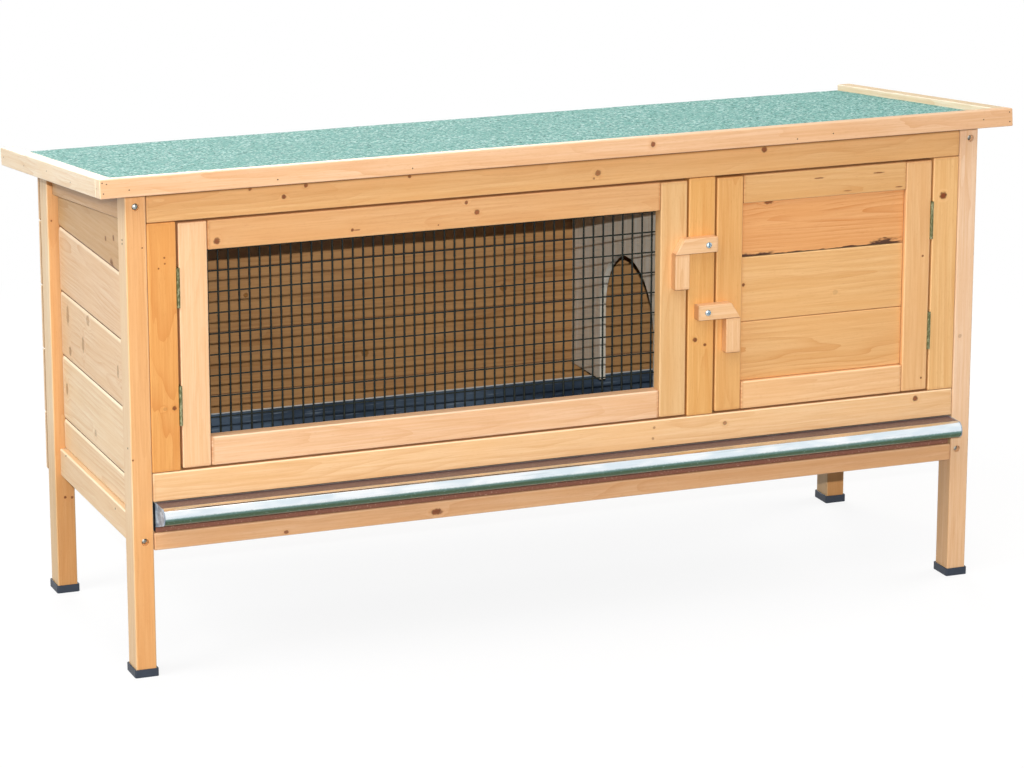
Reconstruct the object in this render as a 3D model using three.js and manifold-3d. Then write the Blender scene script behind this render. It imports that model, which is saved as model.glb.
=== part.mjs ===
// A raised rabbit hutch with a mesh door, a solid door, a slide-out tray and a felted lean-to roof.
// Millimetres, +Z up, front towards -Y. The origin is on the floor, in the middle of the whole hutch.
import * as THREE from 'three';
import { mergeVertices } from 'three/addons/utils/BufferGeometryUtils.js';
import Module from 'manifold-3d';

const wasm = await Module();
wasm.setup();

// Body, measured over the legs
const bodyWidth = 1090;
const bodyDepth = 377;
const seam = 0.3; // between two pieces that touch

// Timber sections
const legWidth = 25;
const legDepth = 32;
const legEase = 3;
const lathWidth = 34.5;
const lathDepth = 20;
const lathEase = 2.5;
const boardDepth = 8;
const boardPitch = 81;
const boardEase = 1.5;

// Heights over the floor, from the feet up
const capHeight = 10;
const capFloor = 2.5;
const capWall = 1.7;
const lowerRailBottom = 153;
const lowerRailHeight = 21;
const bayHeight = 296.5; // the opening for the doors, between the front rails

// Doors
const doorGap = 2.5;
const meshDoorWidth = 636.5;
const doorBoardRecess = 5;
const doorBoardJoint = 74; // lowest board joint over the solid door's bottom rail
const wireSize = 1.6;
const netLap = 10;
const netColumns = 33;
const netRows = 9;

// Hinges
const hingeHeight = 47;
const hingeSpread = 70; // from the door's middle to a hinge's middle
const hingePinRadius = 1.1;
const hingePinClearance = 0.1;
const knuckleWall = 1;
const knuckleSeam = 0.3;
const leafThickness = 0.9;
const leafSeat = 0.1; // between a leaf and the wood it is screwed to
const leafDepth = 12;

// Turn buttons
const buttonBarLength = 56;
const buttonBarHeight = 18.7;
const buttonLegLength = 43.5;
const buttonThickness = 13;
const buttonBevel = 12;
const buttonEase = 1.2;
const buttonPivotInset = 12.5;
const buttonPivotShare = 0.59; // across the centre stile, from its left edge
const upperButtonDrop = 81; // pivot under the front top rail
const buttonPivotSpacing = 84;
const screwHeadRadius = 3.8;
const screwHeadHeight = 2.6;
const screwRadius = 2;
const screwHoleGap = 0.3;
const screwInWood = 15;

// Side and back walls
const railRecess = 7;
const boardRecess = 13;
const firstJoint = 73.5; // first board joint over the bottom of the side rails
const runnerSize = 12;

// Partition
const partitionInset = 4; // from the centre stile's left edge
const partitionLift = 12.5; // over the tray's rim
const doorwayWidth = 168;
const doorwayHeight = 180;
const doorwayFront = 93; // from the partition's front edge

// Tray
const trayHeight = 36;
const trayHeadroom = 1.2;
const traySideGap = 3;
const trayFrontSetback = 2.3;
const trayBackGap = 5;
const sheetMetal = 1;
const noseHeight = 20.5;
const endPlateDrop = 9; // of an end plate's low back corner, under the nose
const noseReach = 35; // in front of the legs

// Roof
const roofAngle = THREE.MathUtils.degToRad(6);
const roofLength = 450; // down the slope
const sideOverhang = 35;
const frontOverhang = 24;
const roofBoardDepth = 10;
const feltDepth = 2.5;
const trimDepth = 18;
const trimHeight = 22;
const trimDrop = 2;
const trimEase = 1.5;

// Worked-out levels
const lowerRailTop = lowerRailBottom + lowerRailHeight;
const trayBottom = lowerRailTop + seam;
const trayTop = trayBottom + trayHeight;
const bottomRailBottom = trayTop + trayHeadroom;
const bayBottom = bottomRailBottom + lathWidth;
const bayTop = bayBottom + bayHeight;
const topRailTop = bayTop + lathWidth;
const roofFrontZ = topRailTop + seam + (lathDepth + frontOverhang) * Math.tan(roofAngle);
const legBottom = capFloor + seam;
const backRailTop = underRoof(bodyDepth);
const backPanelBack = bodyDepth + seam + boardDepth;

// Worked-out places across the front
const frameLeft = legWidth + seam;
const frameRight = bodyWidth - legWidth - seam;
const meshDoorLeft = frameLeft + lathWidth + doorGap;
const meshDoorRight = meshDoorLeft + meshDoorWidth;
const centreStileLeft = meshDoorRight + doorGap;
const solidDoorLeft = centreStileLeft + lathWidth + doorGap;
const rightStileLeft = frameRight - lathWidth;
const solidDoorRight = rightStileLeft - doorGap;
const doorBottom = bayBottom + doorGap;
const doorHeight = bayHeight - 2 * doorGap;
const doorDepth = lathDepth - wireSize - 2 * seam;
const trayLeft = legWidth + traySideGap;
const trayWidth = bodyWidth - 2 * trayLeft;
const roofWidth = bodyWidth + 2 * sideOverhang;

const colours = {
  honey: '#ecb674', pale: '#f2c993', cream: '#eed3a4', amber: '#e5a866', shade: '#c99c66',
  felt: '#5fa88d', rubber: '#222b36', zinc: '#b9c0c2', wire: '#18241d', brass: '#9c9468', steel: '#cfd3d4',
};

const hutch = new THREE.Group();

// The height of the roof's underside at a distance y behind the front of the legs
function underRoof(y) {
  return roofFrontZ - (y + frontOverhang) * Math.tan(roofAngle) - seam;
}

function finish(colour, roughness, metalness) {
  return new THREE.MeshStandardMaterial({ color: colours[colour], roughness, metalness });
}

function wood(colour) {
  return finish(colour, 0.62, 0);
}

function place(name, geometry, material, x, y, z, group = hutch) {
  const mesh = new THREE.Mesh(geometry, material);
  mesh.name = name;
  mesh.position.set(x, y, z);
  group.add(mesh);
  return mesh;
}

function outline(points) {
  return new THREE.Shape(points.map(([a, b]) => new THREE.Vector2(a, b)));
}

function rectangle(width, height) {
  return outline([[0, 0], [width, 0], [width, height], [0, height]]);
}

// A shape given a thickness, with the arrises of both faces eased
function slab(shape, thickness, ease, curveSegments = 12) {
  const geometry = new THREE.ExtrudeGeometry(shape, {
    depth: thickness - 2 * ease,
    bevelEnabled: ease > 0,
    bevelThickness: ease,
    bevelSize: ease,
    bevelOffset: -ease,
    bevelSegments: 1,
    curveSegments,
  });
  geometry.translate(0, 0, ease);
  return geometry;
}

// A slab whose outline is seen from the front, with its thickness going back
function frontSlab(shape, thickness, ease, curveSegments) {
  const geometry = slab(shape, thickness, ease, curveSegments);
  const turn = new THREE.Matrix4().makeBasis(
    new THREE.Vector3(1, 0, 0), new THREE.Vector3(0, 0, 1), new THREE.Vector3(0, -1, 0));
  return geometry.applyMatrix4(turn).translate(0, thickness, 0);
}

// A slab whose outline is drawn in depth and height, with its thickness going to the right
function sideSlab(shape, thickness, ease, curveSegments) {
  const turn = new THREE.Matrix4().makeBasis(
    new THREE.Vector3(0, 1, 0), new THREE.Vector3(0, 0, 1), new THREE.Vector3(1, 0, 0));
  return slab(shape, thickness, ease, curveSegments).applyMatrix4(turn);
}

function block(width, depth, height) {
  return new THREE.BoxGeometry(width, depth, height).translate(width / 2, depth / 2, height / 2);
}

function solidOf(geometry) {
  const bare = geometry.clone();
  bare.deleteAttribute('normal');
  bare.deleteAttribute('uv');
  const merged = mergeVertices(bare);
  const vertProperties = new Float32Array(merged.attributes.position.array);
  const triVerts = new Uint32Array(merged.index.array);
  return new wasm.Manifold(new wasm.Mesh({ numProp: 3, vertProperties, triVerts }));
}

function geometryOf(solid) {
  const mesh = solid.getMesh();
  const geometry = new THREE.BufferGeometry();
  geometry.setAttribute('position', new THREE.BufferAttribute(new Float32Array(mesh.vertProperties), 3));
  geometry.setIndex(new THREE.BufferAttribute(new Uint32Array(mesh.triVerts), 1));
  return geometry;
}

function joined(...geometries) {
  return geometryOf(geometries.map(solidOf).reduce((whole, piece) => whole.add(piece)));
}

function cut(geometry, ...tools) {
  return geometryOf(tools.map(solidOf).reduce((whole, tool) => whole.subtract(tool), solidOf(geometry)));
}

// A leg: upright, its top cut to the roof's slope, in a cap that goes round its foot
function addLeg(name, x, y) {
  const rise = (depth) => underRoof(y + depth) - legBottom;
  const profile = outline([[0, 0], [legDepth, 0], [legDepth, rise(legDepth)], [0, rise(0)]]);
  place(`leg_${name}`, sideSlab(profile, legWidth, legEase), wood('honey'), x, y, legBottom);

  const around = seam + capWall;
  const outside = block(legWidth + 2 * around, legDepth + 2 * around, capHeight);
  const inside = block(legWidth + 2 * seam, legDepth + 2 * seam, capHeight).translate(capWall, capWall, capFloor);
  place(`foot_cap_${name}`, cut(outside, inside), finish('rubber', 0.7, 0), x - around, y - around, 0);
}

function addLegs() {
  const right = bodyWidth - legWidth;
  const back = bodyDepth - legDepth;
  addLeg('front_left', 0, 0);
  addLeg('front_right', right, 0);
  addLeg('rear_left', 0, back);
  addLeg('rear_right', right, back);
}

function frontLath(width, height, depth = lathDepth) {
  return frontSlab(rectangle(width, height), depth, lathEase);
}

function addFrontFrame() {
  const span = frameRight - frameLeft;
  place('front_top_rail', frontLath(span, lathWidth), wood('honey'), frameLeft, 0, bayTop);
  place('front_bottom_rail', frontLath(span, lathWidth), wood('pale'), frameLeft, 0, bottomRailBottom);
  place('front_lower_rail', frontLath(span, lowerRailHeight), wood('honey'), frameLeft, 0, lowerRailBottom);

  const stileHeight = bayHeight - 2 * seam;
  const stileBottom = bayBottom + seam;
  place('front_left_stile', frontLath(lathWidth, stileHeight), wood('amber'), frameLeft, 0, stileBottom);
  place('front_right_stile', frontLath(lathWidth, stileHeight), wood('honey'), rightStileLeft, 0, stileBottom);

  const pivots = buttonPivots();
  const holes = pivots.map(([x, z]) => screwHole(x - centreStileLeft, z - stileBottom));
  const centre = cut(frontLath(lathWidth, stileHeight), ...holes);
  place('front_centre_stile', centre, wood('honey'), centreStileLeft, 0, stileBottom);
}

// Where the two turn buttons pivot, as x and z
function buttonPivots() {
  const x = centreStileLeft + lathWidth * buttonPivotShare;
  const upper = bayTop - upperButtonDrop;
  return [[x, upper], [x, upper - buttonPivotSpacing]];
}

// The pilot hole for a turn button's screw, from the face of the wood inwards
function screwHole(x, z) {
  const radius = screwRadius + screwHoleGap;
  const depth = screwInWood + screwHoleGap;
  const overrun = screwHeadHeight;
  const hole = new THREE.CylinderGeometry(radius, radius, depth + overrun, 16);
  return hole.translate(x, (depth - overrun) / 2, z);
}

// Boards laid edge to edge with a V-joint between them, held together by their tongues.
// Each board is a list of outline points.
function boardPanel(boards, whole, slabOf) {
  const core = boardDepth - 2 * boardEase - 2 * seam;
  const tongue = slabOf(outline(whole), core, 0);
  const inset = (boardDepth - core) / 2;
  const middle = slabOf === sideSlab ? tongue.translate(inset, 0, 0) : tongue.translate(0, inset, 0);
  return joined(middle, ...boards.map((points) => slabOf(outline(points), boardDepth, boardEase)));
}

// Heights of the joints between the lowest and the highest edge of a wall
function jointHeights(bottom, top) {
  const heights = [bottom];
  for (let z = lowerRailBottom + firstJoint; z < top - lathWidth; z += boardPitch) {
    if (z > bottom + boardEase) heights.push(z);
  }
  return heights;
}

// A side wall: a sloping top rail, a bottom rail and boards between, all set in from the legs' faces
function addSideWall(side, onRight) {
  const front = legDepth + seam;
  const back = bodyDepth - legDepth - seam;
  const railDepth = legWidth - railRecess;
  const railX = onRight ? bodyWidth - legWidth : railRecess;
  const boardX = onRight ? bodyWidth - boardRecess - boardDepth : boardRecess;
  const railDrop = lathWidth / Math.cos(roofAngle);

  const top = [[front, underRoof(front) - railDrop], [back, underRoof(back) - railDrop],
    [back, underRoof(back)], [front, underRoof(front)]];
  place(`${side}_top_rail`, sideSlab(outline(top), railDepth, lathEase), wood('cream'), railX, 0, 0);

  const low = sideSlab(rectangle(back - front, lathWidth), railDepth, lathEase);
  place(`${side}_bottom_rail`, low, wood('cream'), railX, front, lowerRailBottom);

  const bottom = lowerRailBottom + lathWidth + seam;
  const topAt = (y) => underRoof(y) - railDrop - seam;
  const levels = jointHeights(bottom, topAt(back));
  const boards = levels.map((z, i) => {
    const last = i === levels.length - 1;
    const frontTop = last ? topAt(front) : levels[i + 1];
    const backTop = last ? topAt(back) : levels[i + 1];
    return [[front, z], [back, z], [back, backTop], [front, frontTop]];
  });
  const whole = [[front, bottom], [back, bottom], [back, topAt(back)], [front, topAt(front)]];
  place(`${side}_boards`, boardPanel(boards, whole, sideSlab), wood('cream'), boardX, 0, 0);

  const runner = block(runnerSize, back - front, runnerSize);
  const runnerX = onRight ? bodyWidth - legWidth - seam - runnerSize : legWidth + seam;
  place(`tray_runner_${side}`, runner, wood('shade'), runnerX, front, lowerRailTop - runnerSize);
}

// The back: two rails between the rear legs, and boards nailed on behind legs and rails
function addBackWall() {
  const span = frameRight - frameLeft;
  const railY = bodyDepth - lathDepth;
  const topRail = frontLath(span, lathWidth);
  place('rear_top_rail', topRail, wood('pale'), frameLeft, railY, backRailTop - lathWidth);
  const lowRail = frontLath(span, lowerRailHeight);
  place('rear_bottom_rail', lowRail, wood('pale'), frameLeft, railY, lowerRailBottom);

  const top = underRoof(backPanelBack);
  const levels = jointHeights(lowerRailBottom, top);
  const boards = levels.map((z, i) => {
    const upper = i === levels.length - 1 ? top : levels[i + 1];
    return [[0, z], [bodyWidth, z], [bodyWidth, upper], [0, upper]];
  });
  const whole = [[0, lowerRailBottom], [bodyWidth, lowerRailBottom], [bodyWidth, top], [0, top]];
  place('back_boards', boardPanel(boards, whole, frontSlab), wood('cream'), 0, bodyDepth + seam, 0);
}

// The wall between the two rooms, with an arched doorway that is open at the bottom
function addPartition() {
  const front = lathDepth + seam;
  const back = bodyDepth - seam;
  const notch = bodyDepth - lathDepth - seam;
  const bottom = trayTop + partitionLift;
  const radius = doorwayWidth / 2;
  const doorFront = front + doorwayFront;
  const middle = doorFront + radius;
  const spring = bottom + doorwayHeight - radius;
  const notchBottom = backRailTop - lathWidth - seam;

  const shape = new THREE.Shape();
  shape.moveTo(front, bottom);
  shape.lineTo(doorFront, bottom);
  shape.lineTo(doorFront, spring);
  shape.absarc(middle, spring, radius, Math.PI, 0, true);
  shape.lineTo(doorFront + doorwayWidth, bottom);
  shape.lineTo(back, bottom);
  shape.lineTo(back, notchBottom);
  shape.lineTo(notch, notchBottom);
  shape.lineTo(notch, underRoof(notch));
  shape.lineTo(front, underRoof(front));
  place('partition', sideSlab(shape, boardDepth, 0, 24), wood('cream'), centreStileLeft + partitionInset, 0, 0);
}

// One door frame: two stiles the full height, with two rails between them
function addDoorFrame(name, left, width, colour) {
  const rail = width - 2 * lathWidth - 2 * seam;
  const railLeft = left + lathWidth + seam;
  const railTop = doorBottom + doorHeight - lathWidth;
  const stile = () => frontLath(lathWidth, doorHeight, doorDepth);
  place(`${name}_left_stile`, stile(), wood(colour), left, 0, doorBottom);
  place(`${name}_right_stile`, stile(), wood(colour), left + width - lathWidth, 0, doorBottom);
  place(`${name}_bottom_rail`, frontLath(rail, lathWidth, doorDepth), wood('pale'), railLeft, 0, doorBottom);
  place(`${name}_top_rail`, frontLath(rail, lathWidth, doorDepth), wood('honey'), railLeft, 0, railTop);
}

// Grid lines for a row of wires: the two edges of each wire in turn
function wireLines(size, gaps) {
  const pitch = (size - wireSize) / gaps;
  return Array.from({ length: gaps + 1 }, (_, i) => [i * pitch, i * pitch + wireSize]).flat();
}

// A flat net as one closed skin: the cells between the grid lines, with the gaps between wires left open
function netSkin(xLines, zLines, thickness) {
  const inNet = (i, k) => i >= 0 && k >= 0 && i < xLines.length - 1 && k < zLines.length - 1;
  const solid = (i, k) => inNet(i, k) && !(i % 2 && k % 2);
  const points = [];
  const quad = (a, b, c, d) => points.push(...a, ...b, ...c, ...a, ...c, ...d);
  for (let i = 0; i < xLines.length - 1; i += 1) {
    for (let k = 0; k < zLines.length - 1; k += 1) {
      if (!solid(i, k)) continue;
      const [left, right] = [xLines[i], xLines[i + 1]];
      const [low, high] = [zLines[k], zLines[k + 1]];
      const front = [[left, 0, low], [right, 0, low], [right, 0, high], [left, 0, high]];
      const back = front.map(([x, , z]) => [x, thickness, z]);
      quad(...front);
      quad(back[3], back[2], back[1], back[0]);
      if (!solid(i - 1, k)) quad(back[0], front[0], front[3], back[3]);
      if (!solid(i + 1, k)) quad(front[1], back[1], back[2], front[2]);
      if (!solid(i, k - 1)) quad(back[0], back[1], front[1], front[0]);
      if (!solid(i, k + 1)) quad(front[3], front[2], back[2], back[3]);
    }
  }
  const geometry = new THREE.BufferGeometry();
  geometry.setAttribute('position', new THREE.BufferAttribute(new Float32Array(points), 3));
  return geometry;
}

// Welded wire, flat behind the mesh door's frame
function addWireMesh() {
  const xLines = wireLines(meshDoorWidth - 2 * lathWidth + 2 * netLap, netColumns);
  const zLines = wireLines(doorHeight - 2 * lathWidth + 2 * netLap, netRows);
  const left = meshDoorLeft + lathWidth - netLap;
  const bottom = doorBottom + lathWidth - netLap;
  const net = netSkin(xLines, zLines, wireSize);
  place('wire_mesh', net, finish('wire', 0.45, 0.3), left, doorDepth + seam, bottom);
}

// Three boards set back in the solid door's frame
function addDoorBoards() {
  const left = solidDoorLeft + lathWidth + seam;
  const width = solidDoorRight - lathWidth - seam - left;
  const bottom = doorBottom + lathWidth;
  const top = doorBottom + doorHeight - lathWidth;
  const joints = [bottom, bottom + doorBoardJoint, bottom + doorBoardJoint + boardPitch, top];
  const names = ['lower', 'middle', 'upper'];
  names.forEach((name, i) => {
    const height = joints[i + 1] - joints[i] - 2 * seam;
    const board = frontSlab(rectangle(width, height), boardDepth, boardEase);
    place(`solid_door_${name}_board`, board, wood('amber'), left, doorBoardRecess, joints[i] + seam);
  });
}

// A hinge leaf, drawn round the pin's axis with its foot at zero height.
// It lies on one side of the axis and has its tabs and knuckles at the given heights.
function hingeLeaf(side, spans, withPin) {
  const bore = hingePinRadius + hingePinClearance;
  const knuckleRadius = bore + knuckleWall;
  const tabStart = bore + hingePinClearance;
  const bodyStart = knuckleRadius + knuckleSeam;
  const points = [[leafDepth, 0], [leafDepth, hingeHeight], [bodyStart, hingeHeight]];
  for (const [low, high] of [...spans].reverse()) {
    points.push([bodyStart, high], [tabStart, high], [tabStart, low], [bodyStart, low]);
  }
  points.push([bodyStart, 0]);
  const distinct = points.filter(([a, b], i) => {
    const [c, d] = points[(i + 1) % points.length];
    return a !== c || b !== d;
  });
  const farFace = doorGap / 2 - leafSeat;
  const plate = sideSlab(outline(distinct), leafThickness, 0);
  plate.translate(side > 0 ? farFace - leafThickness : -farFace, 0, 0);

  const parts = [plate];
  for (const [low, high] of spans) {
    parts.push(upright(knuckleRadius, low, high));
  }
  if (withPin) return joined(...parts, upright(hingePinRadius, 0, hingeHeight));
  return cut(joined(...parts), upright(bore, -seam, hingeHeight + seam));
}

function upright(radius, low, high) {
  return new THREE.CylinderGeometry(radius, radius, high - low, 16)
    .rotateX(Math.PI / 2)
    .translate(0, 0, (low + high) / 2);
}

// Two hinges in the gap beside a door. doorSide is +1 where the door is to the right of its hinges.
function addHinges(door, axisX, doorSide) {
  const third = (hingeHeight - 2 * knuckleSeam) / 3;
  const outer = [[0, third], [hingeHeight - third, hingeHeight]];
  const inner = [[third + knuckleSeam, hingeHeight - third - knuckleSeam]];
  const middle = doorBottom + doorHeight / 2;
  for (const [level, offset] of [['upper', hingeSpread], ['lower', -hingeSpread]]) {
    const z = middle + offset - hingeHeight / 2;
    const name = `${door}_${level}_hinge`;
    place(`${name}_frame_leaf`, hingeLeaf(-doorSide, outer, true), finish('brass', 0.4, 1), axisX, 0, z);
    place(`${name}_door_leaf`, hingeLeaf(doorSide, inner, false), finish('brass', 0.4, 1), axisX, 0, z);
  }
}

// A turn button round its pivot: a bar with a bevelled end, and a leg down from that end.
// Its leg points to the right where side is +1.
function buttonBody(side) {
  const half = buttonBarHeight / 2;
  const end = buttonBarLength - buttonPivotInset;
  const points = [[-buttonPivotInset, half], [-buttonPivotInset, -half], [end - buttonBarHeight, -half],
    [end - buttonBarHeight, -half - buttonLegLength], [end, -half - buttonLegLength], [end, -half],
    [end - buttonBevel, half]];
  const body = frontSlab(outline(points.map(([x, z]) => [side * x, z])), buttonThickness, buttonEase);
  const radius = screwRadius + screwHoleGap;
  const hole = new THREE.CylinderGeometry(radius, radius, 2 * buttonThickness, 16);
  return cut(body, hole.translate(0, buttonThickness / 2, 0));
}

// A dome-headed screw along Y, its shank starting under the head at zero
function buttonScrew() {
  const shank = seam + buttonThickness + seam + screwInWood;
  const dome = 5;
  const points = [];
  for (let i = 0; i <= dome; i += 1) {
    const turn = (i / dome) * (Math.PI / 2);
    points.push(new THREE.Vector2(screwHeadRadius * Math.sin(turn), -screwHeadHeight * Math.cos(turn)));
  }
  points.push(new THREE.Vector2(screwRadius, 0), new THREE.Vector2(screwRadius, shank), new THREE.Vector2(0, shank));
  points[0].x = 0;
  return new THREE.LatheGeometry(points, 16);
}

function addButtons() {
  const [upper, lower] = buttonPivots();
  const face = -seam - buttonThickness;
  place('mesh_door_button', buttonBody(-1), wood('pale'), upper[0], face, upper[1]);
  place('solid_door_button', buttonBody(1), wood('pale'), lower[0], face, lower[1]);
  place('mesh_door_button_screw', buttonScrew(), finish('steel', 0.25, 1), upper[0], face - seam, upper[1]);
  place('solid_door_button_screw', buttonScrew(), finish('steel', 0.25, 1), lower[0], face - seam, lower[1]);
}

// The rolled front of the tray, as an outline in depth and height that starts at the tray's front wall.
// Its low back corner can hang under the nose, and then a straight edge leaves the round at a tangent.
function noseOutline(inset, drop) {
  const radius = noseHeight / 2 - inset;
  const middle = noseHeight / 2;
  const centre = -noseReach + middle;
  const back = trayFrontSetback - seam;
  const run = back - centre;
  const fall = radius + drop;
  const end = 2 * Math.PI - Math.atan2(fall, run) - Math.acos(radius / Math.hypot(run, fall));
  const shape = new THREE.Shape();
  shape.moveTo(back, middle - fall);
  shape.lineTo(back, noseHeight - inset);
  shape.lineTo(centre, noseHeight - inset);
  shape.absarc(centre, middle, radius, Math.PI / 2, end, false);
  return shape;
}

function addTray() {
  const backWall = bodyDepth - lathDepth - trayBackGap;
  const depth = backWall - trayFrontSetback;
  const outside = block(trayWidth, depth, trayHeight);
  const inside = block(trayWidth - 2 * sheetMetal, depth - 2 * sheetMetal, trayHeight)
    .translate(sheetMetal, sheetMetal, sheetMetal);
  place('tray_pan', cut(outside, inside), finish('zinc', 0.35, 1), trayLeft, trayFrontSetback, trayBottom);

  const noseBottom = trayTop - noseHeight;
  const endSpace = sheetMetal + seam;
  const noseWidth = trayWidth - 2 * endSpace;
  const skin = sideSlab(noseOutline(0, 0), noseWidth, 0, 12);
  const hollow = sideSlab(noseOutline(sheetMetal, 0), noseWidth + 2 * seam, 0, 12).translate(-seam, seam, 0);
  place('tray_nose', cut(skin, hollow), finish('zinc', 0.3, 1), trayLeft + endSpace, 0, noseBottom);
  const plate = () => sideSlab(noseOutline(0, endPlateDrop), sheetMetal, 0, 12);
  const rightEnd = trayLeft + trayWidth - sheetMetal;
  place('tray_nose_left_end', plate(), finish('zinc', 0.4, 1), trayLeft, 0, noseBottom);
  place('tray_nose_right_end', plate(), finish('zinc', 0.4, 1), rightEnd, 0, noseBottom);
}

// The roof, built flat and then tipped down to the back
function addRoof() {
  const roof = new THREE.Group();
  roof.position.set(-sideOverhang, -frontOverhang, roofFrontZ);
  roof.rotation.x = -roofAngle;
  hutch.add(roof);

  const start = trimDepth + seam;
  const boardWidth = roofWidth - 2 * start;
  const boardLength = roofLength - start;
  place('roof_board', block(boardWidth, boardLength, roofBoardDepth), wood('shade'), start, start, 0, roof);
  const felt = block(boardWidth, boardLength, feltDepth);
  place('roof_felt', felt, finish('felt', 0.95, 0), start, start, roofBoardDepth + seam, roof);

  const front = frontSlab(rectangle(roofWidth, trimHeight), trimDepth, trimEase);
  place('roof_trim_front', front, wood('honey'), 0, 0, -trimDrop, roof);
  const side = () => sideSlab(rectangle(boardLength, trimHeight), trimDepth, trimEase);
  place('roof_trim_left', side(), wood('cream'), 0, start, -trimDrop, roof);
  place('roof_trim_right', side(), wood('cream'), roofWidth - trimDepth, start, -trimDrop, roof);
}

addLegs();
addFrontFrame();
addSideWall('left', false);
addSideWall('right', true);
addBackWall();
addPartition();
addDoorFrame('mesh_door', meshDoorLeft, meshDoorWidth, 'pale');
addWireMesh();
addDoorFrame('solid_door', solidDoorLeft, solidDoorRight - solidDoorLeft, 'honey');
addDoorBoards();
addHinges('mesh_door', meshDoorLeft - doorGap / 2, 1);
addHinges('solid_door', solidDoorRight + doorGap / 2, -1);
addButtons();
addTray();
addRoof();

// The origin goes to the middle of the whole box: the tray's nose is its front, the roof trims' top ends its back
const trimTop = trimHeight - trimDrop;
const wholeBack = roofLength * Math.cos(roofAngle) + trimTop * Math.sin(roofAngle) - frontOverhang;
hutch.position.set(-bodyWidth / 2, (noseReach - wholeBack) / 2, 0);

export default hutch;
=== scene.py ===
"""The looks of a raised wooden hutch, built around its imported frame.

Metres, +Z up, front towards -Y, the same frame as the CAD. Numbers in millimetres are turned with MM.
A seed is the number that a piece's own grain is drawn from.
"""
import math
import random
from collections import namedtuple

import bpy
from mathutils import Matrix, Vector


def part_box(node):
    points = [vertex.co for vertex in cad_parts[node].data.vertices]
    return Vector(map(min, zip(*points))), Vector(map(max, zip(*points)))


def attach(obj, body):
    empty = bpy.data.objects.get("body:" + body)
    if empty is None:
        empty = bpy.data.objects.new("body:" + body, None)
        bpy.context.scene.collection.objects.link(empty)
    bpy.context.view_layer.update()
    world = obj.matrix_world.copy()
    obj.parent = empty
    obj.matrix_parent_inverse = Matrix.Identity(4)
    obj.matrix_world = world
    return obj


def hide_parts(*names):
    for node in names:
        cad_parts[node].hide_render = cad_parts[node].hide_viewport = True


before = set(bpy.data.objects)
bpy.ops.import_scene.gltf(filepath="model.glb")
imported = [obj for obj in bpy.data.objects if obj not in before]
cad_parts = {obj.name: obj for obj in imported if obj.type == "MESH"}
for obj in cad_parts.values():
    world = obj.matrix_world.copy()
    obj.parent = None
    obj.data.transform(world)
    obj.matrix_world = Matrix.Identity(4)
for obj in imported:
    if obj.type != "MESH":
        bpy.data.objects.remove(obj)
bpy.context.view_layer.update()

MM = 0.001
TINY = 0.05 * MM
ROOF_SLOPE = math.radians(6)
# How far the roof falls over each unit of depth
ROOF_FALL = math.tan(ROOF_SLOPE)

# How far the arrises of each kind of timber are rounded
LEG_EASE = 1.8 * MM
LATH_EASE = 1.8 * MM
BOARD_EASE = 1.5 * MM
TRIM_EASE = 1.3 * MM

# The front left leg's lowest corner is where places along the hutch are measured from
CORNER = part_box("leg_front_left")[0]
BODY_WIDTH = 1090


def at(x, y, z):
    """A place in metres, from millimetres right of, behind and above the front left foot's corner."""
    return Vector((CORNER.x + x * MM, CORNER.y + y * MM, z * MM))


def colour(red, green, blue):
    """A colour for a shader, from the 0 to 255 values that it shows as."""
    def linear(level):
        share = level / 255
        return share / 12.92 if share <= 0.04045 else ((share + 0.055) / 1.055) ** 2.4
    return (linear(red), linear(green), linear(blue), 1.0)


def shaded(tone, red, green, blue):
    """A colour made darker or lighter by a share for each of its three parts."""
    return (min(tone[0] * red, 1), min(tone[1] * green, 1), min(tone[2] * blue, 1), 1.0)


def against(tone, base):
    """The shares that turn a base colour into a tone."""
    return (tone[0] / base[0], tone[1] / base[1], tone[2] / base[2], 1.0)


# Shader maths

class Value:
    """A socket that comes out of a shader node, written in sums like a number."""

    def __init__(self, shades, socket):
        self.shades = shades
        self.socket = socket

    def beside(self, name):
        """Another socket that comes out of the same node."""
        return Value(self.shades, self.socket.node.outputs[name])

    def __add__(self, other):
        return self.shades.maths("ADD", self, other)

    __radd__ = __add__

    def __sub__(self, other):
        return self.shades.maths("SUBTRACT", self, other)

    def __rsub__(self, other):
        return self.shades.maths("SUBTRACT", other, self)

    def __mul__(self, other):
        return self.shades.maths("MULTIPLY", self, other)

    __rmul__ = __mul__

    def __pow__(self, other):
        return self.shades.maths("POWER", self, other)


# A Mix node has sockets of one name for each kind of value, so those for colours are taken by their place
MIX_SHARE, MIX_FIRST, MIX_SECOND, MIX_RESULT = 0, 6, 7, 2


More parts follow.
